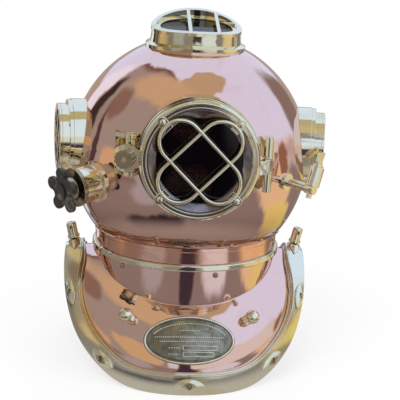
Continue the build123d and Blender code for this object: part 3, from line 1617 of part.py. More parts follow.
# Write each piece
pieces = {
    "breastplate_shell": breastplate_shell,
    "breastplate_rim": breastplate_rim,
    "brail_front_left": brail_front_left,
    "brail_front_right": brail_front_right,
    "brail_back_left": brail_back_left,
    "brail_back_right": brail_back_right,
    "brail_pads": brail_pads,
    "rim_studs": rim_studs,
    "shoulder_nut_left": shoulder_nut_left,
    "shoulder_nut_right": shoulder_nut_right,
    "collar_ring": collar_ring,
    "neck_gasket": neck_gasket,
    "collar_screws": collar_screws,
    "catch_bracket": catch_bracket,
    "catch_pin": catch_pin,
    "safety_catch": safety_catch,
    "nameplate": nameplate,
    "lanyard_studs": lanyard_studs,
    "bonnet_shell": bonnet_shell,
    "bonnet_neck_ring": bonnet_neck_ring,
    "neck_rivets": neck_rivets,
    "front_seat_ring": front_seat_ring,
    "front_gasket": front_gasket,
    "faceplate_ring": faceplate_ring,
    "faceplate_glass": faceplate_glass,
    "faceplate_retainer": faceplate_retainer,
    "faceplate_guard": faceplate_guard,
    "guard_screws": guard_screws,
    "hinge_lugs": hinge_lugs,
    "hinge_pin": hinge_pin,
    "latch_lugs": latch_lugs,
    "latch_pin": latch_pin,
    "swing_bolt": swing_bolt,
    "latch_nut": latch_nut,
    "left_window_seat": left_window_seat,
    "left_window_glass": left_window_glass,
    "left_window_bezel": left_window_bezel,
    "left_window_guard": left_window_guard,
    "right_window_seat": right_window_seat,
    "right_window_glass": right_window_glass,
    "right_window_bezel": right_window_bezel,
    "right_window_guard": right_window_guard,
    "window_gaskets": window_gaskets,
    "window_screws": window_screws,
    "top_window_frame": top_window_frame,
    "top_window_glass": top_window_glass,
    "top_window_retainer": top_window_retainer,
    "top_window_guard": top_window_guard,
    "exhaust_body": exhaust_body,
    "exhaust_cap": exhaust_cap,
    "exhaust_stem": exhaust_stem,
    "exhaust_wheel": exhaust_wheel,
    "exhaust_spring": exhaust_spring,
    "chin_valve": chin_valve,
    "spit_cock_body": spit_cock_body,
    "spit_cock_plug": spit_cock_plug,
    "air_elbow": air_elbow,
    "air_check_flap": air_check_flap,
    "phone_elbow": phone_elbow,
    "phone_gland": phone_gland,
}
os.makedirs("parts", exist_ok=True)
for name, piece in pieces.items():
    piece.part.label = name
    export_step(piece.part, f"parts/{name}.step")
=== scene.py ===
"""Looks of the copper and brass diving helmet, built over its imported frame.

Sizes are in millimetres, as on a maker's drawing. Meshes are written in metres, where the frame has them.
"""

import json
import logging
import math
from collections.abc import Sequence
from dataclasses import dataclass, field
from enum import Enum
from functools import cache
from typing import Any, NamedTuple

import bmesh
import bpy
import numpy as np
from mathutils import Matrix, Vector

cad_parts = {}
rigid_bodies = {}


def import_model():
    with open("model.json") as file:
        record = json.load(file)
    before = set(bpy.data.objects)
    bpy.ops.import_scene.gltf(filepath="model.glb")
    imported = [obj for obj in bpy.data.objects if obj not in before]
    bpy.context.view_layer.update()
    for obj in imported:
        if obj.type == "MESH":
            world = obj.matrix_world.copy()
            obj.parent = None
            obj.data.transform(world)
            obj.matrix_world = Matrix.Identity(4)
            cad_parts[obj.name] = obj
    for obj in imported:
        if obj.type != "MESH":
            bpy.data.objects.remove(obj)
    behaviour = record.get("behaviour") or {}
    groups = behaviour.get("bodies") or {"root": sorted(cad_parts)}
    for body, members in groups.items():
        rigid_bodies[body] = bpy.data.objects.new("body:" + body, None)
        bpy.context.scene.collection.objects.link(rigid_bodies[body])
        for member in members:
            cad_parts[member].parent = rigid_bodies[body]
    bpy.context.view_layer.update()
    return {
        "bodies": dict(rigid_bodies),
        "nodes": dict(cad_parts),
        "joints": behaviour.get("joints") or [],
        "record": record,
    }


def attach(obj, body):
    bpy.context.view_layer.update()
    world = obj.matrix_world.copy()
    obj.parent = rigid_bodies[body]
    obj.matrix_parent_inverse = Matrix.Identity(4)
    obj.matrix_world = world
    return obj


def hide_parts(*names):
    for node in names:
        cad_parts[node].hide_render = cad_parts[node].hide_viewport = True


LOG = logging.getLogger("diving_helmet")
MM = 0.001
WHITE = (1.0, 1.0, 1.0)
Colour = tuple[float, float, float]
Pair = tuple[float, float]
Array = np.ndarray
Group = bpy.types.NodeTree
Socket = bpy.types.NodeSocket
Node = bpy.types.Node
Piece = bpy.types.Object


# ---- wiring


class Wiring:
    """Node tree under construction, with short calls to add and join its nodes."""

    def __init__(self, tree: Group) -> None:
        """Keeps the tree.

        Args:
            tree: the node tree to fill.
        """
        self.tree = tree

    def node(self, kind: str, values: dict[Any, Any] | None = None, **settings: Any) -> Node:
        """Adds a node.

        Args:
            kind: the node's type name.
            values: what goes into its inputs, by name or number: a value or another node's output.
            settings: the node's own properties.

        Returns:
            The node.
        """
        made = self.tree.nodes.new(kind)
        for name, value in settings.items():
            setattr(made, name, value)
        for name, value in (values or {}).items():
            if isinstance(value, Socket):
                self.tree.links.new(value, made.inputs[name])
            else:
                made.inputs[name].default_value = value
        return made

    def output(self, kind: str, values: dict[Any, Any] | None = None, **settings: Any) -> Socket:
        """First output of a node, which is added as above."""
        return self.node(kind, values, **settings).outputs[0]

    def math(self, operation: str, first: Any, second: Any = 0.0) -> Socket:
        """Output of a Math node.

        Args:
            operation: what it does.
            first: its first number or socket.
            second: its second number or socket.

        Returns:
            The value's socket.
        """
        return self.output("ShaderNodeMath", {0: first, 1: second}, operation=operation)

    def vector(self, operation: str, first: Any, second: Any = (0.0, 0.0, 0.0)) -> Socket:
        """Output of a Vector Math node.

        Args:
            operation: what it does.
            first: its first vector or socket.
            second: its second vector or socket.

        Returns:
            The vector's socket, or the number's where it gives a number.
        """
        made = self.node("ShaderNodeVectorMath", {0: first, 1: second}, operation=operation)
        return made.outputs["Value"] if operation in ("DOT_PRODUCT", "LENGTH") else made.outputs[0]

    def noise(self, place: Any, scale: Any, detail: float, **more: float) -> Sequence[Socket]:
        """Outputs of a Noise Texture node.

        Args:
            place: where it is read.
            scale: how fine it is.
            detail: how many finer layers it has.
            more: its other inputs.

        Returns:
            The sockets of its value and its colour.
        """
        values = {"Vector": place, "Scale": scale, "Detail": detail, **more}
        return self.node("ShaderNodeTexNoise", values).outputs

    def step(self, value: Any, low: float, high: float, foot: Any = 0.0, head: Any = 1.0) -> Socket:
        """Smooth step from foot to head as the value goes from low to high.

        Args:
            value: the socket that is read.
            low: where the step starts.
            high: where it ends.
            foot: what comes out below low.
            head: what comes out above high.

        Returns:
            The value's socket.
        """
        made = self.node(
            "ShaderNodeMapRange",
            {"Value": value, "From Min": low, "From Max": high, "To Min": foot, "To Max": head},
            interpolation_type="SMOOTHSTEP",
        )
        return made.outputs["Result"]

    def blend(self, share: Any, first: Any, second: Any, how: str = "MIX") -> Socket:
        """Mixes two colours.

        Args:
            share: how much of the second shows.
            first: a colour or its socket.
            second: a colour or its socket.
            how: the way they mix.

        Returns:
            The colour's socket.
        """
        made = self.tree.nodes.new("ShaderNodeMix")
        made.data_type = "RGBA"
        made.blend_type = how
        for name, value in (("Factor_Float", share), ("A_Color", first), ("B_Color", second)):
            socket = next(s for s in made.inputs if s.identifier == name)
            if isinstance(value, Socket):
                self.tree.links.new(value, socket)
            else:
                socket.default_value = (*value, 1.0) if isinstance(value, tuple) else value
        return next(s for s in made.outputs if s.identifier == "Result_Color")


class Effect(Wiring):
    """Shader effect that several finishes share, as a node group."""

    def __init__(self, name: str, takes: dict[str, float], gives: Sequence[str]) -> None:
        """Makes the group with its sockets.

        Args:
            name: the group's name.
            takes: its inputs and their usual values.
            gives: its outputs.
        """
        super().__init__(bpy.data.node_groups.new(name, "ShaderNodeTree"))
        for label, usual in takes.items():
            socket = self.tree.interface.new_socket(label, in_out="INPUT", socket_type="NodeSocketFloat")
            socket.default_value = usual
        for label in gives:
            self.tree.interface.new_socket(label, in_out="OUTPUT", socket_type="NodeSocketFloat")
        self.enter = self.tree.nodes.new("NodeGroupInput")
        self.leave = self.tree.nodes.new("NodeGroupOutput")

    def give(self, label: str, value: Socket) -> None:
        """Sends a value out of the group."""
        self.tree.links.new(value, self.leave.inputs[label])

    def place(self) -> Socket:
        """Object coordinates."""
        return self.node("ShaderNodeTexCoord").outputs["Object"]

    def scale(self) -> Socket:
        """Scale of a noise whose forms are as large as the input Size says, in millimetres."""
        return self.math("DIVIDE", 1.0 / MM, self.enter.outputs["Size"])


@cache
def waves() -> Group:
    """Unevenness of sheet that was spun and planished by hand. Size is how far apart the swells are.

    Returns:
        The group, which gives a height.
    """
    effect = Effect("planished_waves", {"Size": 30.0}, ("Height",))
    scale = effect.scale()
    broad = effect.noise(effect.place(), scale, 1.0)[0]
    small = effect.noise(effect.place(), effect.math("MULTIPLY", scale, 2.7), 0.0)[0]
    effect.give("Height", effect.math("ADD", broad, effect.math("MULTIPLY", small, 0.25)))
    return effect.tree


@cache
def scratches() -> Group:
    """Fine lines that wiping leaves, in two directions. Size is their length.

    Returns:
        The group, which gives a height.
    """
    effect = Effect("wiping_scratches", {"Size": 12.0}, ("Height",))
    scale = effect.scale()
    lines = []
    for turn, stretch in (((0.3, 0.9, 0.2), (1.0, 14.0, 14.0)), ((1.2, 0.4, 0.8), (16.0, 1.0, 16.0))):
        values = {"Vector": effect.place(), "Rotation": turn, "Scale": stretch}
        lay = effect.output("ShaderNodeMapping", values)
        lines.append(effect.noise(lay, scale, 2.0)[0])
    effect.give("Height", effect.math("MINIMUM", *lines))
    return effect.tree


@cache
def stains() -> Group:
    """Patches of tarnish or handling. Amount is the share they cover, Size how large they are.

    Returns:
        The group, which gives a mask.
    """
    effect = Effect("tarnish_patches", {"Size": 60.0, "Amount": 0.4, "Shift": 0.0}, ("Mask",))
    moved = effect.vector("ADD", effect.place(), effect.enter.outputs["Shift"])
    patch = effect.noise(moved, effect.scale(), 5.0, Roughness=0.62, Distortion=0.5)[0]
    level = effect.math("SUBTRACT", 0.72, effect.math("MULTIPLY", effect.enter.outputs["Amount"], 0.44))
    effect.give("Mask", effect.step(effect.math("SUBTRACT", patch, level), -0.08, 0.14))
    return effect.tree


@cache
def rubbed_edges_and_shaded_hollows() -> Group:
    """Bright rubbed edges, and painted shade in hollow corners, both from how sharply the surface bends.

    Returns:
        The group, which gives two masks.
    """
    effect = Effect("worn_corners", {"Edge": 1.0, "Corner": 1.0}, ("Edge", "Corner"))
    bend = effect.node("ShaderNodeNewGeometry").outputs["Pointiness"]
    # The Corner mask marks hollows, where finishes paint shade; the Edge mask marks rubbed wear.
    masks = {"Edge": effect.step(bend, 0.515, 0.60), "Corner": effect.step(bend, 0.40, 0.488, 1.0, 0.0)}
    for label, mask in masks.items():
        effect.give(label, effect.math("MULTIPLY", mask, effect.enter.outputs[label]))
    return effect.tree


@dataclass(frozen=True)
class Finish:
    """What every finish has: a name, a slot of the record, and a material that is made once."""

    name: str
    slot: str

    def material(self) -> bpy.types.Material:
        """The finish's material.

        Returns:
            The material, made at the first call.
        """
        known = bpy.data.materials.get(f"finish_{self.name}")
        if known is not None:
            return known
        made = bpy.data.materials.new(f"finish_{self.name}")
        made.use_nodes = True
        made.node_tree.nodes.clear()
        wires = Wiring(made.node_tree)
        shader = self.dress(wires)
        wires.node("ShaderNodeOutputMaterial", {"Surface": shader.outputs[0]})
        return made

    def dress(self, wires: Wiring) -> Node:
        """Builds the nodes, in each kind of finish its own.

        Args:
            wires: the material's nodes.

        Returns:
            The shader.
        """
        raise NotImplementedError

    @staticmethod
    def effect(wires: Wiring, tree: Group, **values: float) -> Node:
        """Places a shared effect with this finish's own values.

        Args:
            wires: the material's nodes.
            tree: the effect.
            values: its inputs.

        Returns:
            The group node.
        """
        made = wires.tree.nodes.new("ShaderNodeGroup")
        made.node_tree = tree
        for label, value in values.items():
            made.inputs[label].default_value = value
        return made

    def bumped(self, wires: Wiring, layers: Sequence[tuple[Socket, float]]) -> Socket:
        """Bumps laid one over another.

        Args:
            wires: the material's nodes.
            layers: a height socket and its depth in millimetres for each.

        Returns:
            The normal's socket.
        """
        normal = None
        for height, depth in layers:
            bump = wires.node("ShaderNodeBump", {"Height": height, "Distance": depth * MM, "Strength": 1.0})
            if normal is not None:
                wires.tree.links.new(normal, bump.inputs["Normal"])
            normal = bump.outputs[0]
        return normal


@dataclass(frozen=True)
class Metal(Finish):
    """Polished or worn metal. Where its foot darkening is set, it darkens towards the dome's foot, which is a
    painted reflection of dark ground.
    """

    clean: Colour
    tarnish: Colour
    # Colour of the painted shade in hollows and of the painted reflection at the dome's foot.
    painted_shade: Colour
    shine: float = 0.07
    dull: float = 0.22
    patches: float = 0.35
    patch_size: float = 70.0
    wave: float = 0.05
    wave_size: float = 28.0
    scratch: float = 0.004
    scratch_size: float = 10.0
    # Strength of the painted shade in hollow corners.
    corner: float = 0.7
    edge: float = 0.5
    # Painted reflection of dark ground towards the dome's foot: its strength, how far up it reaches, and
    # where it fades out below.
    painted_reflection: float = 0.0
    painted_reflection_rise: float = 62.0
    painted_reflection_drops: Pair = (24.0, 18.0)

    def dress(self, wires: Wiring) -> Node:
        """Metal with thin tarnish, painted shade in hollow corners, rubbed edges, swells and fine scratches.

        Args:
            wires: the material's nodes.

        Returns:
            The shader.
        """
        patch = self.effect(wires, stains(), Size=self.patch_size, Amount=self.patches).outputs["Mask"]
        small = self.effect(
            wires, stains(), Size=self.patch_size / 6, Amount=self.patches * 0.8, Shift=0.37
        ).outputs["Mask"]
        # The Edge mask is rubbed wear; the Corner mask places painted shade in hollows.
        worn = self.effect(wires, rubbed_edges_and_shaded_hollows(), Edge=self.edge, Corner=self.corner)
        both = wires.math("ADD", wires.math("MULTIPLY", patch, 0.75), wires.math("MULTIPLY", small, 0.25))
        colour = wires.blend(both, self.clean, self.tarnish)
        # Painted reflection of dark ground: darker towards the dome's foot, fading out a little below it.
        if self.painted_reflection > 0:
            place = wires.node("ShaderNodeTexCoord").outputs["Object"]
            height = wires.node("ShaderNodeSeparateXYZ", {0: place}).outputs[2]
            top = DOME.foot + self.painted_reflection_rise
            below = wires.step(height, DOME.foot * MM, top * MM, self.painted_reflection, 0.0)
            above = wires.step(height, *((DOME.foot - drop) * MM for drop in self.painted_reflection_drops))
            colour = wires.blend(wires.math("MULTIPLY", below, above), colour, self.painted_shade)
        # Painted shade: hollow corners darken.
        colour = wires.blend(worn.outputs["Corner"], colour, self.painted_shade)
        colour = wires.blend(worn.outputs["Edge"], colour, self.clean)
        lines = self.effect(wires, scratches(), Size=self.scratch_size).outputs["Height"]
        swell = self.effect(wires, waves(), Size=self.wave_size).outputs["Height"]
        smear = wires.math("ADD", wires.math("MULTIPLY", both, 0.7), wires.math("MULTIPLY", lines, 0.3))
        rough = wires.step(smear, 0.05, 0.95, self.shine, self.dull)
        rough = wires.math("ADD", rough, wires.math("MULTIPLY", worn.outputs["Corner"], 0.25))
        normal = self.bumped(wires, ((swell, self.wave), (lines, self.scratch)))
        return wires.node(
            "ShaderNodeBsdfPrincipled",
            {"Base Color": colour, "Metallic": 1.0, "Roughness": rough, "Normal": normal},
        )


@dataclass(frozen=True)
class Coat(Finish):
    """Dull coat, such as worn paint on metal, rubber or leather."""

    colour: Colour
    worn: Colour
    roughness: float = 0.5
    spread: float = 0.15
    grain: float = 0.03
    grain_size: float = 2.0
    edge: float = 0.0
    patches: float = 0.4

    def dress(self, wires: Wiring) -> Node:
        """A coat with grain, patches of wear and, where edge is set, bare metal on its edges.

        Args:
            wires: the material's nodes.

        Returns:
            The shader.
        """
        patch = self.effect(wires, stains(), Size=14.0, Amount=self.patches).outputs["Mask"]
        worn = self.effect(wires, rubbed_edges_and_shaded_hollows(), Edge=1.0, Corner=0.6)
        ragged = wires.math("MULTIPLY", worn.outputs["Edge"], wires.step(patch, 0.1, 0.7))
        bare = wires.math("MULTIPLY", ragged, self.edge)
        faded = wires.blend(wires.math("MULTIPLY", patch, 0.35), self.colour, self.worn)
        colour = wires.blend(bare, faded, self.worn)
        grain = self.effect(wires, waves(), Size=self.grain_size).outputs["Height"]
        rough = wires.step(patch, 0.0, 1.0, self.roughness, self.roughness + self.spread)
        normal = self.bumped(wires, ((grain, self.grain),))
        return wires.node(
            "ShaderNodeBsdfPrincipled",
            {"Base Color": colour, "Metallic": bare, "Roughness": rough, "Normal": normal},
        )


@dataclass(frozen=True)
class Pane(Finish):
    """Thick old window glass, a little grey."""

    tint: Colour

    def dress(self, wires: Wiring) -> Node:
        """Clear glass with smears that dull it slightly.

        Args:
            wires: the material's nodes.

        Returns:
            The shader.
        """
        smear = self.effect(wires, stains(), Size=30.0, Amount=0.4).outputs["Mask"]
        tint = wires.blend(smear, self.tint, tuple(c * 0.8 for c in self.tint))
        rough = wires.step(smear, 0.0, 1.0, 0.02, 0.06)
        return wires.node(
            "ShaderNodeBsdfPrincipled",
            {"Base Color": tint, "Roughness": rough, "IOR": 1.5, "Transmission Weight": 1.0},
        )


class Look(Enum):
    """Finishes of the helmet."""

    COPPER = Metal(
        "polished_copper", "copper", (0.90, 0.61, 0.53), (0.82, 0.50, 0.40), (0.20, 0.09, 0.05),
        shine=0.045, dull=0.12, patches=0.26, patch_size=85.0, wave=0.10, wave_size=46.0, scratch=0.002,
        corner=0.6, painted_reflection=0.62,
    )
    BAND = Metal(
        "neck_copper", "copper", (0.90, 0.55, 0.42), (0.74, 0.36, 0.22), (0.18, 0.07, 0.04),
        shine=0.08, dull=0.20, patches=0.5, patch_size=30.0, wave=0.04, wave_size=16.0, corner=0.9,
    )
    BRASS = Metal(
        "pale_brass", "brass", (0.88, 0.82, 0.62), (0.74, 0.62, 0.34), (0.13, 0.10, 0.05),
        shine=0.06, dull=0.17, patches=0.35, patch_size=45.0, wave=0.05, wave_size=22.0, corner=0.85,
    )
    RIM = Metal(
        "rubbed_brass", "brass", (0.86, 0.83, 0.68), (0.78, 0.69, 0.42), (0.16, 0.13, 0.07),
        shine=0.10, dull=0.22, patches=0.45, patch_size=90.0, wave=0.12, wave_size=34.0, corner=0.8,
    )
    PLATE = Metal(
        "plate_brass", "brass", (0.34, 0.31, 0.22), (0.18, 0.16, 0.11), (0.04, 0.035, 0.025),
        shine=0.26, dull=0.46, patches=0.55, patch_size=14.0, wave=0.06, wave_size=4.0, corner=1.0, edge=0.4,
    )
    RAISED = Metal(
        "rubbed_plate", "brass", (0.92, 0.88, 0.74), (0.70, 0.64, 0.44), (0.08, 0.07, 0.04),
        shine=0.16, dull=0.34, patches=0.35, patch_size=9.0, wave=0.02, wave_size=5.0,
    )
    AGED = Metal(
        "aged_brass", "aged_brass", (0.50, 0.44, 0.30), (0.27, 0.21, 0.12), (0.05, 0.04, 0.025),
        shine=0.16, dull=0.38, patches=0.5, patch_size=16.0, wave=0.05, wave_size=9.0, corner=1.0, edge=0.9,
    )
    # Dark metal of the ring on the door's sight cone, which is painted shade.
    LINING = Metal(
        "dark_lining", "brass", (0.30, 0.26, 0.25), (0.17, 0.14, 0.14), (0.05, 0.04, 0.04),
        shine=0.14, dull=0.30, patches=0.5, patch_size=18.0,
    )
    SPRING = Metal(
        "spring_wire", "spring_bronze", (0.72, 0.52, 0.34), (0.48, 0.31, 0.18), (0.12, 0.07, 0.04),
        shine=0.15, dull=0.3, patch_size=6.0,
    )
    PAINT = Coat(
        "black_paint", "black_paint", (0.018, 0.017, 0.016), (0.33, 0.27, 0.17),
        roughness=0.30, spread=0.25, grain=0.02, grain_size=3.0, edge=0.75, patches=0.35,
    )
    RUBBER = Coat("window_rubber", "rubber", (0.022, 0.021, 0.020), (0.07, 0.065, 0.06), roughness=0.65)
    LEATHER = Coat(
        "neck_leather", "leather", (0.16, 0.075, 0.032), (0.07, 0.03, 0.015),
        roughness=0.6, grain=0.06, grain_size=1.6,
    )
    GLASS = Pane("window_glass", "window_glass", (0.030, 0.034, 0.036))


SLOT_LOOKS = {
    "copper": Look.COPPER,
    "brass": Look.BRASS,
    "aged_brass": Look.AGED,
    "black_paint": Look.PAINT,
    "window_glass": Look.GLASS,
    "rubber": Look.RUBBER,
    "leather": Look.LEATHER,
    "spring_bronze": Look.SPRING,
}


# ---- shapes


class Corner(NamedTuple):
    """Corner of a profile, and the radius of its rounding."""

    radius: float
    reach: float
    fillet: float = 0.4


@dataclass
class Skin:
    """Points, normals and faces of a piece under construction, in millimetres."""

    points: Array = field(default_factory=lambda: np.zeros((0, 3)))
    normals: Array = field(default_factory=lambda: np.zeros((0, 3)))
    faces: list[tuple[int, ...]] = field(default_factory=list)

    def join(self, other: "Skin") -> "Skin":
        """Takes another skin's faces in.

        Args:
            other: the skin to add.

        Returns:
            This skin.
        """
        start = len(self.points)
        self.points = np.vstack((self.points, other.points))
        self.normals = np.vstack((self.normals, other.normals))
        self.faces += [tuple(corner + start for corner in face) for face in other.faces]
        return self

    def placed(self, where: Matrix) -> "Skin":
        """The skin moved to a place.

        Args:
            where: a turn and a shift, in millimetres.

        Returns:
            A new skin.
        """
        turn = np.array(where.to_3x3())
        shift = np.array(where.translation)
        return Skin(self.points @ turn.T + shift, self.normals @ turn.T, list(self.faces))

    def smoothed(self) -> "Skin":
        """The skin with normals that weigh each face by its area.

        Returns:
            This skin.
        """
        sums = np.zeros_like(self.points)
        for face in self.faces:
            ring = self.points[list(face)]
            across = np.cross(ring[1:] - ring[0], np.roll(ring, -1, 0)[1:] - ring[0]).sum(0)
            sums[list(face)] += across
        self.normals = unit(sums)
        return self


def unit(vectors: Array) -> Array:
    """Vectors brought to length 1. One of no length stays as it is."""
    length = np.linalg.norm(vectors, axis=-1, keepdims=True)
    return vectors / np.where(length < 1e-12, 1.0, length)


def grid(points: Array, normals: Array, round_first: bool, round_second: bool) -> Skin:
    """Quads over a table of points.

    Args:
        points: a table of points, first index by second index.
        normals: their normals.
        round_first: whether the first index closes on itself.
        round_second: whether the second index closes on itself.

    Returns:
        The skin. Its faces turn from the first index to the second.
    """
    first, second = points.shape[:2]
    faces = []
    for i in range(first if round_first else first - 1):
        for j in range(second if round_second else second - 1):
            near, far = (i + 1) % first, (j + 1) % second
            faces.append((i * second + j, near * second + j, near * second + far, i * second + far))
    return Skin(points.reshape(-1, 3), normals.reshape(-1, 3), faces)


class Outline(NamedTuple):
    """Rounded profile: its points and their outward normals."""

    points: Array
    normals: Array


@dataclass(frozen=True)
class Dome:
    """Ball that the bonnet is spun from."""

    radius: float = 157.0
    wall: float = 2.5
    centre: float = 267.0
    foot: float = 171.0


DOME = Dome()


STRAIGHT = 0.02
CORNER_FACES = 4
CORNER_SHARE = 0.45
SUPPORT = 0.7


def outline(corners: Sequence[Corner], closed: bool = True) -> Outline:
    """Rounds a profile's corners and adds points beside each rounding, so that flats stay flat.

    Args:
        corners: the profile, either way round.
        closed: whether it closes on itself, and otherwise it starts and ends on the axis.

    Returns:
        The rounded profile.
    """
    spots = [(np.array((corner.radius, corner.reach), float), corner.fillet) for corner in corners]
    ends = [spot for spot, _ in spots]
    if sum(a[0] * b[1] - a[1] * b[0] for a, b in zip(ends, ends[1:] + ends[:1])) < 0:
        spots.reverse()
    last = len(spots) - 1
    found: list[tuple[Array, Array]] = []
    for index, (here, fillet) in enumerate(spots):
        before, after = spots[index - 1][0], spots[0 if index == last else index + 1][0]
        came, goes = unit(here - before), unit(after - here)
        n_in, n_out = np.array((came[1], -came[0])), np.array((goes[1], -goes[0]))
        angle = math.atan2(came[0] * goes[1] - came[1] * goes[0], float(came @ goes))
        if not closed and index in (0, last):
            found.append((here, n_in if index else n_out))
            continue
        if abs(angle) < STRAIGHT or fillet <= 0:
            found.append((here, unit(n_in + n_out)))
            continue
        lengths = np.linalg.norm(here - before), np.linalg.norm(after - here)
        slope = math.tan(abs(angle) / 2)
        size = min(fillet, *(CORNER_SHARE * length / slope for length in lengths))
        side = 1 if angle > 0 else -1
        start = here - came * size * slope
        middle = start - side * n_in * size
        parts = max(2, round(CORNER_FACES * abs(angle) / (math.pi / 2)))
        if lengths[0] > 4 * SUPPORT + size:
            found.append((start - came * SUPPORT, n_in))
        for part in range(parts + 1):
            cos, sin = math.cos(angle * part / parts), math.sin(angle * part / parts)
            normal = np.array((n_in[0] * cos - n_in[1] * sin, n_in[0] * sin + n_in[1] * cos))
            found.append((middle + side * size * normal, normal))
        if lengths[1] > 4 * SUPPORT + size:
            found.append((here + goes * (size * slope + SUPPORT), n_out))
    points, normals = zip(*found)
    return Outline(np.array(points), np.array(normals))


@dataclass(frozen=True)
class Port:
    """Way through the dome that a fitting sits in. It looks along the port's own axis."""

    turn: float
    elevation: float = 0.0
    rise: float = 0.0

    def matrix(self) -> Matrix:
        """Where the port's own axes lie: x across, y up the dome, z outward.

        Returns:
            The place, in millimetres.
        """
        turn, tilt = math.radians(self.turn), math.radians(self.elevation)
        out = Vector((math.cos(tilt) * math.sin(turn), -math.cos(tilt) * math.cos(turn), math.sin(tilt)))
        across = Vector((math.cos(turn), math.sin(turn), 0.0))
        where = Matrix((across, out.cross(across), out)).transposed().to_4x4()
        where.translation = (0.0, 0.0, DOME.centre + self.rise)
        return where


def turned(corners: Sequence[Corner], around: int, closed: bool = True) -> Skin:
    """Solid turned about the z axis from a profile, with its corners rounded.

    Args:
        corners: the profile.
        around: how many faces go round.
        closed: whether the profile closes on itself, and otherwise it starts and ends on the axis.

    Returns:
        The skin.
    """
    shape = outline(corners, closed)
    angle = np.linspace(0, 2 * math.pi, around, endpoint=False)[:, None]
    out = np.hstack((np.cos(angle), np.sin(angle)))

    def all_round(table: Array) -> Array:
        """A table of radii and reaches, carried round the axis."""
        level = table[None, :, :1] * out[:, None, :]
        return np.concatenate((level, np.repeat(table[None, :, 1:], around, 0)), 2)

    skin = grid(all_round(shape.points), unit(all_round(shape.normals)), True, closed)
    return skin if closed else close_poles(skin, around, len(shape.points))


def close_poles(skin: Skin, around: int, count: int) -> Skin:
    """Draws the first and last ring of a turned skin, which lie on the axis, into one point each.

    Args:
        skin: the skin of a grid.
        around: how many faces go round.
        count: how many points its profile has.

    Returns:
        The skin with closed poles.
    """
    keep = {index * count + part: index * count + part for index in range(around) for part in range(count)}
    for index in range(around):
        keep[index * count] = 0
        keep[index * count + count - 1] = count - 1
    used = sorted(set(keep.values()))
    place = {old: new for new, old in enumerate(used)}
    faces = []
    for face in skin.faces:
        ring = [place[keep[corner]] for corner in face]
        slim = tuple(corner for index, corner in enumerate(ring) if corner != ring[index - 1])
        if len(slim) > 2:
            faces.append(slim)
    return Skin(skin.points[used], skin.normals[used], faces)


def slab(edge: Sequence[Pair], low: float, high: float) -> Skin:
    """Plate with a straight wall.

    Args:
        edge: its outline, counter-clockwise.
        low: its lower face.
        high: its upper face.

    Returns:
        The skin, without normals.
    """
    count = len(edge)
    points = np.array([(x, y, z) for z in (low, high) for x, y in edge])
    faces = [tuple(range(count, 2 * count)), tuple(reversed(range(count)))]
    faces += [(i, (i + 1) % count, (i + 1) % count + count, i + count) for i in range(count)]
    return Skin(points, np.zeros_like(points), faces)


# ---- breastplate's surface


@cache
def bends_of(table: tuple[float, ...]) -> Array:
    """Second derivatives of a smooth closed curve through a quarter's table and its mirrors.

    Args:
        table: values at equal steps over a quarter turn.

    Returns:
        The values over half a turn, and their second derivatives, as two rows.
    """
    last = len(table) - 1
    values = np.array([table[i if i <= last else 2 * last - i] for i in range(2 * last)])
    count = len(values)
    lines = np.zeros((count, count))
    for i in range(count):
        lines[i, i] = 4
        lines[i, (i + 1) % count] += 1
        lines[i, i - 1] += 1
    right = 6 * (np.roll(values, 1) - 2 * values + np.roll(values, -1))
    return np.stack((values, np.linalg.solve(lines, right)))


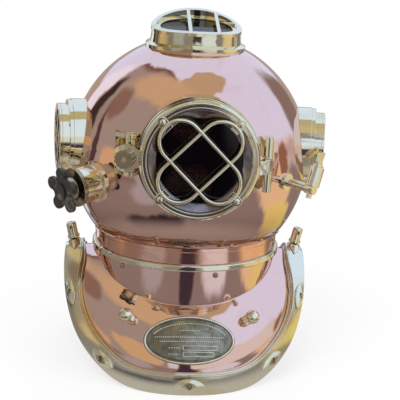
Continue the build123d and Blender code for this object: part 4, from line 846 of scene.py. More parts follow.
@dataclass(frozen=True)
class Flank:
    """Sloping outside of the breastplate, from the crease at its neck down to its rim.

    The tables hold a quarter turn from front to side, a value every step degrees. The near and fine
    values are how far apart two spots are whose difference gives a direction.
    """

    neck_radius: float = 120.0
    rim_half_width: float = 160.0
    rim_half_depth: float = 165.5
    crease_front: float = 95.5
    crease_side: float = 139.0
    rim_shoulder: float = 133.0
    foot_trim: float = 0.5
    handle_share: float = 0.4
    step: float = 15.0
    near_turn: float = 0.2
    near_share: float = 0.002
    fine_turn: float = 0.05
    fine_share: float = 0.0005
    rounds: int = 7
    run_steps: int = 161
    crease_rises: tuple[float, ...] = (0.0, 0.03, 0.14, 0.31, 0.54, 0.82, 1.0)
    rim_rises: tuple[float, ...] = (0.0, 0.0, 0.04, 0.18, 0.385, 0.715, 1.0)
    start_slopes: tuple[float, ...] = (38.0, 38.0, 38.0, 37.0, 34.0, 24.0, 4.0)
    end_slopes: tuple[float, ...] = (84.0, 84.0, 84.0, 82.0, 79.0, 64.0, 22.0)

    def at(self, table: tuple[float, ...], turn: Array) -> Array:
        """A table's value at any turn from the front.

        Args:
            table: a quarter's values.
            turn: turns in degrees.

        Returns:
            The value at each.
        """
        values, bends = bends_of(table)
        place = np.mod(turn / self.step, len(values))
        index = np.floor(place).astype(int) % len(values)
        after = (index + 1) % len(values)
        part = place - np.floor(place)
        rest = 1 - part
        curve = (rest**3 - rest) * bends[index] + (part**3 - part) * bends[after]
        return rest * values[index] + part * values[after] + curve / 6

    def crease(self, turn: Array) -> Array:
        """Height of the crease at each turn."""
        return self.crease_front + (self.crease_side - self.crease_front) * self.at(self.crease_rises, turn)

    def spot(self, turn: Any, share: Any, lift: Any = 0.0) -> Array:
        """Points on the flank.

        Args:
            turn: degrees from the front.
            share: how far down the flank, from 0 at the crease to 1 at the rim.
            lift: how far off the surface.

        Returns:
            The points.
        """
        turn, share, lift = np.broadcast_arrays(
            np.asarray(turn, float), np.asarray(share, float), np.asarray(lift, float)
        )
        angle = np.radians(turn)
        rim_reach = 1 / np.hypot(np.sin(angle) / self.rim_half_width, np.cos(angle) / self.rim_half_depth)
        crease = self.crease(turn)
        rim = (self.rim_shoulder + self.foot_trim) * self.at(self.rim_rises, turn) - self.foot_trim
        first, last = (np.radians(self.at(table, turn)) for table in (self.start_slopes, self.end_slopes))
        handle = self.handle_share * np.hypot(rim_reach - self.neck_radius, rim - crease)
        outs = (
            self.neck_radius + 0 * turn,
            self.neck_radius + handle * np.cos(first),
            rim_reach - handle * np.cos(last),
            rim_reach,
        )
        ups = (crease, crease - handle * np.sin(first), rim + handle * np.sin(last), rim)
        out, up = 0.0, 0.0
        for index in range(4):
            weight = math.comb(3, index) * share**index * (1 - share) ** (3 - index)
            mixed = index / 3
            across = (1 - mixed) * np.sin(first) + mixed * np.sin(last)
            along = (1 - mixed) * np.cos(first) + mixed * np.cos(last)
            out = out + weight * (outs[index] + lift * across)
            up = up + weight * (ups[index] + lift * along)
        return np.stack((out * np.sin(angle), -out * np.cos(angle), up), -1)

    def frame(self, turn: Any, share: Any, lift: Any = 0.0) -> tuple[Array, Array, Array]:
        """Points on the flank with the directions there.

        Args:
            turn: degrees from the front.
            share: how far down the flank.
            lift: how far off the surface.

        Returns:
            The points, the normals and the directions up the flank.
        """
        turn, share = np.asarray(turn, float), np.asarray(share, float)
        by, part = self.near_turn, self.near_share
        along = self.spot(turn + by, share, lift) - self.spot(turn - by, share, lift)
        down = self.spot(turn, share + part, lift) - self.spot(turn, share - part, lift)
        normal = unit(np.cross(down, along))
        return self.spot(turn, share, lift), normal, unit(np.cross(normal, unit(along)))

    def seat(self, turn: float, share: float, lift: float = 0.0) -> Matrix:
        """Place of a fitting: x along the rim, y up the flank, z off it.

        Args:
            turn: degrees from the front.
            share: how far down the flank.
            lift: how far off the surface.

        Returns:
            The place, in millimetres.
        """
        point, normal, up = (Vector(part) for part in self.frame(turn, share, lift))
        where = Matrix((up.cross(normal), up, normal)).transposed().to_4x4()
        where.translation = point
        return where

    def share_from_rim(self, turns: Array, distances: Array, lift: float) -> Array:
        """How far down the flank lines along the rim lie.

        Args:
            turns: degrees from the front.
            distances: how far the lines are from the rim's edge.
            lift: how far off the surface they are measured.

        Returns:
            A table of shares, turns by distances.
        """
        steps = np.linspace(1.0, 0.0, self.run_steps)
        line = self.spot(turns[:, None], steps[None, :], lift)
        run = np.linalg.norm(np.diff(line, axis=1), axis=2)
        edge = self.spot(turns + 1, 1.0, lift) - self.spot(turns - 1, 1.0, lift)
        last = line[:, 0] - line[:, 1]
        sizes = np.linalg.norm(last, axis=1) * np.linalg.norm(edge, axis=1)
        slant = np.linalg.norm(np.cross(last, edge), axis=1) / sizes
        length = np.hstack((np.zeros((len(turns), 1)), np.cumsum(run, axis=1))) * slant[:, None]
        return np.array([np.interp(distances, length[i], steps) for i in range(len(turns))])

    def under(self, seat: Matrix, start: Pair, x: Array, y: Array, lift: float) -> tuple:
        """Turns and shares that lie straight below points of a seat's plane.

        Args:
            seat: the seat.
            start: its turn and share.
            x: places along the rim.
            y: places up the flank.
            lift: how far off the surface.

        Returns:
            The turns and the shares.
        """
        turn, share = np.full(x.shape, start[0]), np.full(x.shape, start[1])
        turn_back = np.array(seat.to_3x3())
        origin = np.array(seat.translation)

        def flat(turns: Array, shares: Array) -> Array:
            """Where points of the flank lie in the seat's plane."""
            return ((self.spot(turns, shares, lift) - origin) @ turn_back)[..., :2]

        for _ in range(self.rounds):
            here = flat(turn, share)
            by_turn = (flat(turn + self.fine_turn, share) - here) / self.fine_turn
            by_share = (flat(turn, share + self.fine_share) - here) / self.fine_share
            miss_x, miss_y = x - here[..., 0], y - here[..., 1]
            size = by_turn[..., 0] * by_share[..., 1] - by_turn[..., 1] * by_share[..., 0]
            turn = turn + (miss_x * by_share[..., 1] - miss_y * by_share[..., 0]) / size
            share = share + (miss_y * by_turn[..., 0] - miss_x * by_turn[..., 1]) / size
        return turn, share

    def laid(self, seat: Matrix, start: Pair, x: Array, y: Array, lift: float) -> Array:
        """Points off the flank that lie straight below points of a seat's plane, as under finds them."""
        turns, shares = self.under(seat, start, x, y, lift)
        return self.spot(turns, shares, lift)


FLANK = Flank()


# ---- geometry node trees


class Tree(Wiring):
    """Geometry node tree under construction, with a Geometry socket at each end."""

    def __init__(self, name: str, takes: dict[str, tuple[str, Any]]) -> None:
        """Makes the tree with its inputs.

        Args:
            name: the tree's name.
            takes: a socket type and a usual value, or None, for each input.
        """
        super().__init__(bpy.data.node_groups.new(name, "GeometryNodeTree"))
        face = self.tree.interface
        face.new_socket("Geometry", in_out="INPUT", socket_type="NodeSocketGeometry")
        face.new_socket("Geometry", in_out="OUTPUT", socket_type="NodeSocketGeometry")
        for label, (kind, usual) in takes.items():
            socket = face.new_socket(label, in_out="INPUT", socket_type=kind)
            if usual is not None:
                socket.default_value = usual
        self.enter = self.tree.nodes.new("NodeGroupInput").outputs
        self.leave = self.tree.nodes.new("NodeGroupOutput").inputs

    def end(self, geometry: Socket) -> Group:
        """Realizes the instances, sets the material and closes the tree.

        Args:
            geometry: what the tree has made.

        Returns:
            The finished tree.
        """
        real = self.node("GeometryNodeRealizeInstances", {"Geometry": geometry}).outputs[0]
        dressed = self.node("GeometryNodeSetMaterial", {"Geometry": real, "Material": self.enter["Finish"]})
        self.tree.links.new(dressed.outputs[0], self.leave[0])
        return self.tree


@cache
def fastener_tree() -> Group:
    """Puts a screw, rivet or stud at each point, facing as the point's attribute says.

    Returns:
        The tree.
    """
    tree = Tree(
        "fasteners_in_place",
        {
            "Piece": ("NodeSocketObject", None),
            "Size": ("NodeSocketFloat", 1.0),
            "Loose turn": ("NodeSocketFloat", 0.0),
            "Seed": ("NodeSocketInt", 7),
            "Finish": ("NodeSocketMaterial", None),
        },
    )
    piece = tree.node("GeometryNodeObjectInfo", {"Object": tree.enter["Piece"]}, transform_space="ORIGINAL")
    facing = tree.node("GeometryNodeInputNamedAttribute", {"Name": "facing"}, data_type="QUATERNION")
    most, seed = tree.enter["Loose turn"], tree.enter["Seed"]
    angle = tree.node("FunctionNodeRandomValue", {"Max": most, "Seed": seed}, data_type="FLOAT")
    spin = tree.node("FunctionNodeAxisAngleToRotation", {"Axis": (0.0, 0.0, 1.0), "Angle": value_of(angle)})
    turned_ = tree.node(
        "FunctionNodeRotateRotation",
        {"Rotation": value_of(facing), "Rotate By": spin.outputs[0]},
        rotation_space="LOCAL",
    )
    placed = tree.node(
        "GeometryNodeInstanceOnPoints",
        {
            "Points": tree.enter["Geometry"],
            "Instance": piece.outputs["Geometry"],
            "Rotation": turned_.outputs[0],
            "Scale": tree.enter["Size"],
        },
    )
    return tree.end(placed.outputs[0])


def value_of(node: Node) -> Socket:
    """The output that a node with several data types shows."""
    return next(socket for socket in node.outputs if socket.enabled and socket.name in ("Value", "Attribute"))


@cache
def wire_tree() -> Group:
    """Carries flattened half-round wire along a line that lies level.

    Returns:
        The tree.
    """
    tree = Tree(
        "half_round_wire",
        {
            "Width": ("NodeSocketFloat", 4.0),
            "Height": ("NodeSocketFloat", 4.0),
            "Flat": ("NodeSocketFloat", 0.6),
            "Steps": ("NodeSocketInt", 160),
            "Facets": ("NodeSocketInt", 20),
            "Finish": ("NodeSocketMaterial", None),
        },
    )
    line = tree.output("GeometryNodeMeshToCurve", {"Mesh": tree.enter["Geometry"]})
    even = tree.output("GeometryNodeResampleCurve", {"Curve": line, "Count": tree.enter["Steps"]})
    level = tree.output("GeometryNodeSetCurveNormal", {"Curve": even}, mode="Z_UP")
    width, height, facets = (tree.enter[label] for label in ("Width", "Height", "Facets"))
    ring = tree.output("GeometryNodeCurvePrimitiveCircle", {"Resolution": facets, "Radius": 0.5})
    size = tree.output("ShaderNodeCombineXYZ", {"X": height, "Y": width, "Z": 1.0})
    oval = tree.output("GeometryNodeTransform", {"Geometry": ring, "Scale": size})
    depth = tree.math("MULTIPLY", tree.math("MULTIPLY", height, tree.enter["Flat"]), 0.5)
    below = tree.math("MULTIPLY", depth, -1.0)
    least = tree.output("ShaderNodeCombineXYZ", {"X": below, "Y": -1.0, "Z": -1.0})
    flat = tree.vector("MAXIMUM", tree.output("GeometryNodeInputPosition"), least)
    shape = tree.output("GeometryNodeSetPosition", {"Geometry": oval, "Position": flat})
    body = tree.output("GeometryNodeCurveToMesh", {"Curve": level, "Profile Curve": shape, "Fill Caps": True})
    return tree.end(tree.output("GeometryNodeSetShadeSmooth", {"Geometry": body}))


# ---- workshop


def in_scene(name: str, data: Any) -> Piece:
    """New object of a mesh, lamp or camera, linked to the scene.

    Args:
        name: its name.
        data: the mesh, lamp or camera.

    Returns:
        The object.
    """
    made = bpy.data.objects.new(name, data)
    bpy.context.scene.collection.objects.link(made)
    return made


@dataclass
class Workshop:
    """Makes objects of skins and puts them on their bodies."""

    frame: dict[str, Any]
    slots: dict[str, str] = field(default_factory=dict)
    bodies: dict[str, str] = field(default_factory=dict)
    left: set[str] = field(default_factory=set)
    merge_distance: float = 0.002
    flat_angle: float = 0.2
    eased_angle: float = 32.0
    sharp_angle: float = 38.0
    slot_sharp_angle: float = 35.0
    screw_turn: float = 6.0

    def __post_init__(self) -> None:
        """Reads which slot and body each node has."""
        record = self.frame["record"]
        self.slots = {part["node"]: part["material_slot"] for part in record["subparts"]}
        for body, nodes in record["behaviour"]["bodies"].items():
            for node in nodes:
                self.bodies[node] = body
        self.left = set(self.frame["nodes"])

    def make(self, name: str, skin: Skin, look: Look) -> Piece:
        """Object of a skin.

        Args:
            name: the piece's name.
            skin: its shape, in millimetres.
            look: its finish.

        Returns:
            The object, at the origin.
        """
        mesh = bpy.data.meshes.new(name)
        mesh.from_pydata((skin.points * MM).tolist(), [], skin.faces)
        mesh.validate()
        mesh.update()
        mesh.shade_smooth()
        if len(mesh.vertices) == len(skin.normals) and np.abs(skin.normals).max() > 0:
            mesh.normals_split_custom_set_from_vertices(skin.normals.tolist())
        mesh.materials.append(look.value.material())
        return in_scene(name, mesh)

    def dressed(self, name: str, skin: Skin, look: Look, body: str, *nodes: str) -> Piece:
        """Piece of a skin, put on its body."""
        return self.done(self.make(name, skin, look), body, look, *nodes)

    def baked(self, piece: Piece) -> Piece:
        """Turns what a piece's modifiers make into its own mesh, and takes them off.

        Args:
            piece: the piece.

        Returns:
            The same piece.
        """
        bpy.context.view_layer.update()
        ready = piece.evaluated_get(bpy.context.evaluated_depsgraph_get())
        mesh = bpy.data.meshes.new_from_object(ready)
        piece.modifiers.clear()
        piece.data = mesh
        return piece

    def eased(self, piece: Piece, width: float, parts: int = 2) -> Piece:
        """Rounds a piece's sharp edges and evens its shading.

        Args:
            piece: the piece.
            width: how wide the rounding is.
            parts: how many faces the rounding has.

        Returns:
            The same piece.
        """
        if width > 0:
            bevel = piece.modifiers.new("eased_edges", "BEVEL")
            bevel.width = width * MM
            bevel.segments = parts
            bevel.limit_method = "ANGLE"
            bevel.angle_limit = math.radians(self.eased_angle)
            bevel.miter_outer = "MITER_ARC"
        even = piece.modifiers.new("even_shading", "WEIGHTED_NORMAL")
        even.keep_sharp = True
        even.weight = 80
        return self.baked(piece)

    def carried(self, node: str, look: Look | None = None, ease: float = 0.3) -> Piece:
        """Piece made of a node's own shape, with eased edges.

        Args:
            node: the node.
            look: its finish, or its slot's usual one.
            ease: how wide its edges are rounded, and 0 keeps the node's own normals.

        Returns:
            The piece, which replaces the node.
        """
        chosen = look or SLOT_LOOKS[self.slots[node]]
        mesh = self.frame["nodes"][node].data.copy()
        made = in_scene(f"{node}_dressed", mesh)
        mesh.materials.clear()
        mesh.materials.append(chosen.value.material())
        if ease > 0:
            shape = bmesh.new()
            shape.from_mesh(mesh)
            bmesh.ops.remove_doubles(shape, verts=shape.verts, dist=self.merge_distance * MM)
            flat = math.radians(self.flat_angle)
            bmesh.ops.dissolve_limit(
                shape, angle_limit=flat, verts=shape.verts, edges=shape.edges, delimit={"NORMAL"}
            )
            shape.to_mesh(mesh)
            shape.free()
            if "custom_normal" in mesh.attributes:
                mesh.attributes.remove(mesh.attributes["custom_normal"])
            mesh.shade_smooth()
            mesh.set_sharp_from_angle(angle=math.radians(self.sharp_angle))
            self.eased(made, ease)
        return self.done(made, self.bodies[node], chosen, node)

    def fasteners(
        self, name: str, piece: Skin, spots: Sequence[Matrix], look: Look, slot: Pair | None = None
    ) -> Piece:
        """The same small piece at several places, through the fastener tree.

        Args:
            name: the name of the whole.
            piece: the small piece, its foot at the origin and its head along z.
            spots: the places, in millimetres.
            look: the finish.
            slot: width and depth of a screwdriver's slot across its head. Slotted ones stand turned anyhow.

        Returns:
            One piece with a plain mesh.
        """
        single = self.make(f"{name}_single", piece, look)
        if slot:
            self.slotted(single, *slot)
        mesh = bpy.data.meshes.new(name)
        mesh.from_pydata([tuple(spot.translation * MM) for spot in spots], [], [])
        facing = mesh.attributes.new("facing", "QUATERNION", "POINT")
        turns = [tuple(spot.to_quaternion()) for spot in spots]
        facing.data.foreach_set("value", np.array(turns, np.float32).ravel())
        made = in_scene(name, mesh)
        loose = self.screw_turn if slot else 0.0
        self.through(made, fastener_tree(), look, {"Piece": single, "Loose turn": loose})
        bpy.data.objects.remove(single)
        return made

    def slotted(self, piece: Piece, width: float, depth: float) -> None:
        """Cuts a screwdriver's slot across the top of a screw.

        Args:
            piece: the screw, its head along z.
            width: the slot's width.
            depth: its depth.
        """
        top = max(corner[2] for corner in piece.bound_box) / MM
        reach = 2 * max(corner[0] for corner in piece.bound_box) / MM
        edge = ((-reach, -width / 2), (reach, -width / 2), (reach, width / 2), (-reach, width / 2))
        cutter = self.make(f"{piece.name}_cut", slab(edge, top - depth, top + depth), Look.AGED)
        cut = piece.modifiers.new("slot", "BOOLEAN")
        cut.operation, cut.solver, cut.object = "DIFFERENCE", "EXACT", cutter
        self.baked(piece)
        bpy.data.objects.remove(cutter)
        piece.data.set_sharp_from_angle(angle=math.radians(self.slot_sharp_angle))

    def through(self, piece: Piece, tree: Group, look: Look, values: dict[str, Any]) -> Piece:
        """Runs a piece through a geometry node tree and keeps the plain mesh.

        Args:
            piece: the piece.
            tree: the tree.
            look: the finish.
            values: the tree's other inputs by name.

        Returns:
            The same piece.
        """
        run = piece.modifiers.new(tree.name, "NODES")
        run.node_group = tree
        sockets = {item.name: item.identifier for item in tree.interface.items_tree if item.in_out == "INPUT"}
        for label, value in {**values, "Finish": look.value.material()}.items():
            run[sockets[label]] = value
        return self.baked(piece)

    def wire(
        self, name: str, line: Array, width: float, height: float, look: Look,
        where: Matrix | None = None, flat: float = 1.0, steps: int = 160,
    ) -> Piece:
        """Flattened half-round wire along a closed line.

        Args:
            name: the piece's name.
            line: its points, in millimetres, level in the place's own axes.
            width: the wire's width.
            height: its height.
            look: the finish.
            where: the place of the line's axes.
            flat: how deep its underside is, as a share of half its height.
            steps: how many pieces it is cut into.

        Returns:
            The wire as a plain mesh, in its place.
        """
        count = len(line)
        mesh = bpy.data.meshes.new(name)
        mesh.from_pydata((line * MM).tolist(), [(i, (i + 1) % count) for i in range(count)], [])
        made = in_scene(name, mesh)
        sizes = {"Width": width * MM, "Height": height * MM, "Flat": flat, "Steps": steps}
        self.through(made, wire_tree(), look, sizes)
        if where is not None:
            metres = where.copy()
            metres.translation = where.translation * MM
            made.data.transform(metres)
        shape = bmesh.new()
        shape.from_mesh(made.data)
        bmesh.ops.recalc_face_normals(shape, faces=shape.faces)
        shape.to_mesh(made.data)
        shape.free()
        return made

    def joined(self, name: str, pieces: Sequence[Piece]) -> Piece:
        """Several objects as one piece.

        Args:
            name: its name.
            pieces: the objects, which go.

        Returns:
            The one piece.
        """
        with bpy.context.temp_override(active_object=pieces[0], selected_editable_objects=list(pieces)):
            bpy.ops.object.join()
        pieces[0].name = name
        pieces[0].data.name = name
        return pieces[0]

    def done(self, piece: Piece, body: str, look: Look, *nodes: str) -> Piece:
        """Puts a finished piece on its body and reports it.

        Args:
            piece: the piece.
            body: the body it moves with.
            look: not used.
            nodes: the nodes it stands for.

        Returns:
            The piece.
        """
        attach(piece, body)
        if nodes:
            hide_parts(*nodes)
            self.left -= set(nodes)
        LOG.info("%s on %s, %d faces", piece.name, body, len(piece.data.polygons))
        return piece


class Head(NamedTuple):
    """Low round head of a screw or rivet, its stub's depth, the share of it that is domed, and its slot."""

    radius: float
    height: float
    foot: float
    crown: float
    slot: Pair | None = None

    def skin(self) -> Skin:
        """The head and its stub, with the head's foot at the origin.

        Returns:
            The skin.
        """
        side, stub = self.height * (1 - self.crown), self.radius * 0.5
        corners = [
            Corner(0.0, -self.foot, 0), Corner(stub, -self.foot, 0.1),
            Corner(stub, 0.0, 0.1), Corner(self.radius, 0.0, 0.1),
        ]
        for angle in np.linspace(0, math.pi / 2, 7)[:-1]:
            rise = self.height * self.crown * math.sin(angle)
            corners.append(Corner(self.radius * math.cos(angle), side + rise, 0))
        corners.append(Corner(0.0, self.height, 0))
        return turned(corners, closed=False, around=28)


# ---- breastplate


@dataclass
class Breastplate:
    """Saddle with its rim, straps, pads, studs, plate and collar."""

    shop: Workshop
    wall: float = 2.5
    collar_top: float = 142.0
    bead: float = 1.1
    around: int = 288
    rim_low: float = 0.5
    rim_thickness: float = 3.0
    rim_width: float = 26.0
    layer_gap: float = 0.25
    strap_width: float = 24.5
    strap_thickness: float = 4.0
    strap_gap: float = 0.8
    lip_width: float = 2.0
    lip_height: float = 0.8
    pad_length: float = 39.0
    pad_width: float = 17.0
    pad_thickness: float = 4.0
    pad_set_back: float = 12.5
    pad_turns: tuple[float, ...] = (0.0, 39.0, 68.0, 90.0, 112.0, 141.0, 180.0)
    stud_radius: float = 3.0
    stud_recess: float = 1.5
    shoulder_stud: float = 19.0
    plate_share: float = 0.4
    plate_half_length: float = 56.5
    plate_half_height: float = 30.0
    ball_turn: float = 31.5
    ball_share: float = 0.28
    ball_radius: float = 8.7
    ball_centre: float = 13.0
    strap_steps: int = 73
    pad_points: int = 72
    pad_trim: float = 0.15
    stud_gap: float = 0.4
    plate_points: int = 160
    plate_floor: float = 0.2
    plate_face: float = 1.65
    plate_top: float = 2.75
    plate_end: Pair = (0.5, 0.1)
    bead_inset: float = 1.9
    arch_inset: float = 9.6
    arch_ends: Pair = (158.0, 22.0)
    arch_count: int = 40
    frames: tuple[Pair, ...] = ((-9.5, 34.0), (-17.0, 30.0))
    frame_left: float = -8.0
    frame_half_height: float = 2.5
    pip_rows: tuple[tuple[float, float, float, int], ...] = (
        (11.5, -11.0, 11.0, 9), (3.6, -42.0, 42.0, 34), (-1.6, -36.0, 36.0, 29),
        (-9.5, -25.0, -13.0, 5), (-17.0, -25.0, -13.0, 5),
    )
    screw: Head = Head(3.5, 1.9, 2.0, 0.6, (0.8, 0.8))
    screw_count: int = 6
    screw_height: float = 135.5
    first_screw: float = 15.0

    @property
    def strap_low(self) -> float:
        """Underside of the straps, off the saddle."""
        return self.rim_low + self.rim_thickness + self.layer_gap

    @property
    def strap_high(self) -> float:
        """Upper side of the straps, off the saddle."""
        return self.strap_low + self.strap_thickness

    @property
    def pad_high(self) -> float:
        """Top of the pads, off the saddle."""
        return self.strap_high + self.layer_gap + self.pad_thickness

    def saddle(self) -> None:
        """Copper sheet: the neck, a soldered bead in the crease, and the flank."""
        turns = np.linspace(-180, 180, self.around, endpoint=False)
        angle = np.radians(turns)
        out = np.stack((np.sin(angle), -np.cos(angle), 0 * angle), -1)
        up = np.array((0.0, 0.0, 1.0))
        crease = FLANK.crease(turns)
        rows: list[tuple[Array, Array]] = []

        def upright(radius: float, height: Array, side: float) -> None:
            """One row on the neck's wall."""
            rows.append((out * radius + up * height[:, None], out * side))

        inner = FLANK.neck_radius - self.wall
        for share in np.linspace(0, 1, 8):
            upright(inner, crease - self.wall + (self.collar_top - crease + self.wall) * share, -1.0)
        for share in np.linspace(0, 1, 10):
            upright(FLANK.neck_radius, self.collar_top - (self.collar_top - crease - self.bead) * share, 1.0)
        middle, normal, _ = FLANK.frame(turns, 0.0)
        middle = middle + 0.15 * out * self.bead
        for share in np.linspace(0.12, 0.88, 7):
            lean = math.pi / 2 * share
            way = unit(up * math.cos(lean) + unit(normal + out * 0.6) * math.sin(lean))
            rows.append((middle + way * self.bead, way))
        for share in np.concatenate((np.linspace(0.012, 0.1, 6), np.linspace(0.125, 1, 44))):
            point, normal, climb = FLANK.frame(turns, share)
            rows.append((point, normal))
        rows.append((FLANK.spot(turns, 1.0, -self.wall), unit(-climb - normal)))
        for share in np.linspace(0.98, 0.06, 26):
            point, normal, _ = FLANK.frame(turns, share, -self.wall)
            rows.append((point, -normal))
        points = np.stack([row[0] for row in rows], 1)
        normals = np.stack([row[1] for row in rows], 1)
        points[..., 2] = np.maximum(points[..., 2], 0.0)
        skin = outward(grid(points, normals, True, True))
        self.shop.dressed("saddle_sheet", skin, Look.COPPER, "breastplate", "breastplate_shell")

    def band(self, turns: Array, section: Sequence[Corner], ring: bool) -> Skin:
        """Strip along the rim.

        Args:
            turns: the turns it runs over.
            section: its corners, as distances from the rim's edge and lifts off the saddle.
            ring: whether it closes on itself.

        Returns:
            The skin.
        """
        shape = outline(section)
        shares = FLANK.share_from_rim(turns, shape.points[:, 0], self.strap_low)
        point, normal, climb = FLANK.frame(turns[:, None], shares, shape.points[None, :, 1])
        normals = shape.normals[None, :, :1] * climb + shape.normals[None, :, 1:] * normal
        point[..., 2] = np.maximum(point[..., 2], 0.0)
        skin = grid(point, unit(normals), ring, True)
        if not ring:
            rows, count = point.shape[:2]
            skin.faces.append(tuple(range(count)))
            skin.faces.append(tuple(reversed(range((rows - 1) * count, rows * count))))
        skin.faces = [tuple(reversed(face)) for face in skin.faces]
        return skin

    def rim(self) -> None:
        """Flange under the straps, and the four straps with a raised lip along their inner edge."""
        low, high, width = self.rim_low, self.rim_low + self.rim_thickness, self.rim_width
        turns = np.linspace(-180, 180, self.around, endpoint=False)
        section = [
            Corner(0, low, 0.6), Corner(width, low, 0.3), Corner(width, high, 0.8), Corner(0, high, 1.0),
        ]
        flange = self.band(turns, section, True)
        self.shop.dressed("rim_flange", flange, Look.RIM, "breastplate", "breastplate_rim")
        low, high, width = self.strap_low, self.strap_high, self.strap_width
        section = [
            Corner(0.0, low, 0.6),
            Corner(width, low, 0.3),
            Corner(width, high + self.lip_height, 0.8),
            Corner(width - self.lip_width, high + self.lip_height, 0.8),
            Corner(width - self.lip_width - 0.4, high - 0.15, 0.5),
            Corner(width * 0.5, high, 0),
            Corner(2.5, high - 0.35, 0),
            Corner(0.0, high - 0.6, 1.6),
        ]
        gap = math.degrees(self.strap_gap / 2 / FLANK.rim_half_width)
        quarters = {
            "brail_front_right": (0, 90), "brail_back_right": (90, 180),
            "brail_back_left": (180, 270), "brail_front_left": (270, 360),
        }
        for node, (start, end) in quarters.items():
            strap = self.band(np.linspace(start + gap, end - gap, self.strap_steps), section, False)
            self.shop.dressed(f"{node}_strap", strap, Look.RIM, "breastplate", node)

    def pad_seats(self) -> list[Pair]:
        """Turn and share of each pad.

        Returns:
            The turns and shares.
        """
        turns = [side * turn for turn in self.pad_turns for side in (1, -1) if 0 < turn < 180 or side == 1]
        shares = FLANK.share_from_rim(np.array(turns), np.array([self.pad_set_back]), self.strap_high)
        return [(turn, float(share[0])) for turn, share in zip(turns, shares)]

    def lens(self, angle: Array) -> Array:
        """Outline of a pad.

        Args:
            angle: where round the pad.

        Returns:
            How far the outline is from the pad's middle.
        """
        half_length, half_width = self.pad_length / 2, self.pad_width / 2
        arc = (half_length**2 + half_width**2) / (2 * half_width)
        drop = (arc - half_width) * np.abs(np.sin(angle))
        return -drop + np.sqrt(drop**2 + arc**2 - (arc - half_width) ** 2)

    def laid_skin(self, seat: Matrix, start: Pair, rings: Sequence[tuple[Array, Array, float]]) -> Skin:
        """Closed skin over rings of points that are laid on the flank.

        Args:
            seat: the place whose axes the rings are given in.
            start: its turn and share.
            rings: for each, its places along the rim and up the flank, and its lift.

        Returns:
            The skin, without normals.
        """
        points = np.stack([FLANK.laid(seat, start, x, y, lift) for x, y, lift in rings], 1)
        points[..., 2] = np.maximum(points[..., 2], 0.0)
        return grid(points, np.zeros_like(points), True, True)

    def pads(self) -> None:
        """Lens-shaped pads, raised in the middle and sloping to their tips."""
        phase = np.linspace(0, 2 * math.pi, self.pad_points, endpoint=False)
        angle = np.arctan2(self.pad_width * np.sin(phase), self.pad_length * np.cos(phase))
        hole = self.stud_radius + self.stud_gap
        low, high = self.strap_high + self.layer_gap / 2, self.pad_high
        levels = (
            (0.0, low), (0.0, high - 0.5), (0.02, high - 0.1), (0.05, high), (0.30, high),
            (0.42, high - 0.12), (0.55, high - 0.7), (0.78, high - 1.55), (0.92, high - 2.0),
            (0.985, high - 2.4), (1.0, high - 2.9), (1.0, low), (0.5, low),
        )
        rings = []
        for part, lift in levels:
            reach = hole + (self.lens(angle) - self.pad_trim - hole) * part
            rings.append((reach * np.cos(angle), reach * np.sin(angle), lift))
        whole = Skin()
        for turn, share in self.pad_seats():
            seat = FLANK.seat(turn, share, self.strap_high)
            whole.join(self.laid_skin(seat, (turn, share), rings))
        skin = outward(whole).smoothed()
        self.shop.dressed("stud_pads", skin, Look.RIM, "breastplate", "brail_pads")

    def studs(self) -> None:
        """Short studs in the pads, and a tall one on each shoulder."""
        short, tall = [], []
        for turn, share in self.pad_seats():
            spots = tall if abs(abs(turn) - 90) < 1 else short
            spots.append(FLANK.seat(turn, share, self.rim_low))
        radius, rise = self.stud_radius, self.pad_high - self.rim_low
        for name, spots, top, nodes in (
            ("short_studs", short, rise - self.stud_recess, ("rim_studs",)),
            ("shoulder_studs", tall, rise + self.shoulder_stud, ()),
        ):
            corners = [
                Corner(0, 0.0, 0), Corner(radius, 0.0, 0.2), Corner(radius, top, 0.7), Corner(0, top, 0),
            ]
            stud = turned(corners, closed=False, around=32)
            piece = self.shop.fasteners(name, stud, spots, Look.AGED)
            self.shop.done(piece, "breastplate", Look.RIM, *nodes)

    def nameplate(self) -> None:
        """Oval plate with a raised border and a bead on it, plain rows of pips and two bare frames."""
        start = (0.0, self.plate_share)
        seat = FLANK.seat(*start)
        phase = np.linspace(0, 2 * math.pi, self.plate_points, endpoint=False)
        half_long, half_high = self.plate_half_length, self.plate_half_height
        deepest = half_high - self.plate_end[1]
        floor, face, top = self.plate_floor, self.plate_face, self.plate_top
        levels = (
            (0.0, floor), (0.0, top - 0.7), (0.25, top - 0.2), (0.8, top), (2.6, top), (3.2, top - 0.2),
            (3.6, face + 0.2), (4.0, face), (5.4, face), (5.7, face + 0.35), (6.3, face + 0.35), (6.6, face),
            (12.0, face), (20.0, face), (deepest, face), (deepest, floor), (15.0, floor),
        )
        rings = []
        for inset, lift in levels:
            drawn_in = (half_long - deepest - self.plate_end[0]) * max(0.0, inset / deepest - 0.4) / 0.6
            x, y = (half_long - inset - drawn_in) * np.cos(phase), (half_high - inset) * np.sin(phase)
            rings.append((x, y, lift))
        skin = outward(self.laid_skin(seat, start, rings)).smoothed()
        plate = self.shop.make("nameplate_oval", skin, Look.PLATE)
        corners = ((0, -0.1), (1.05, -0.1), (0.9, 0.6), (0.5, 0.9), (0, 0.95))
        pip = turned([Corner(*corner, 0) for corner in corners], closed=False, around=8)
        spots = self.pip_spots(seat, start, face - 0.1)
        pips = self.shop.fasteners("nameplate_pips", pip, spots, Look.RAISED)
        wires = []
        for number, (middle, right) in enumerate(self.frames):
            line = FLANK.laid(seat, start, *self.frame_line(middle, right), face + 0.1)
            wires.append(self.shop.wire(f"nameplate_frame_{number}", line, 1.1, 1.1, Look.RAISED, steps=80))
        x, y = (half_long - self.bead_inset) * np.cos(phase), (half_high - self.bead_inset) * np.sin(phase)
        bead = FLANK.laid(seat, start, x, y, top - 0.5)
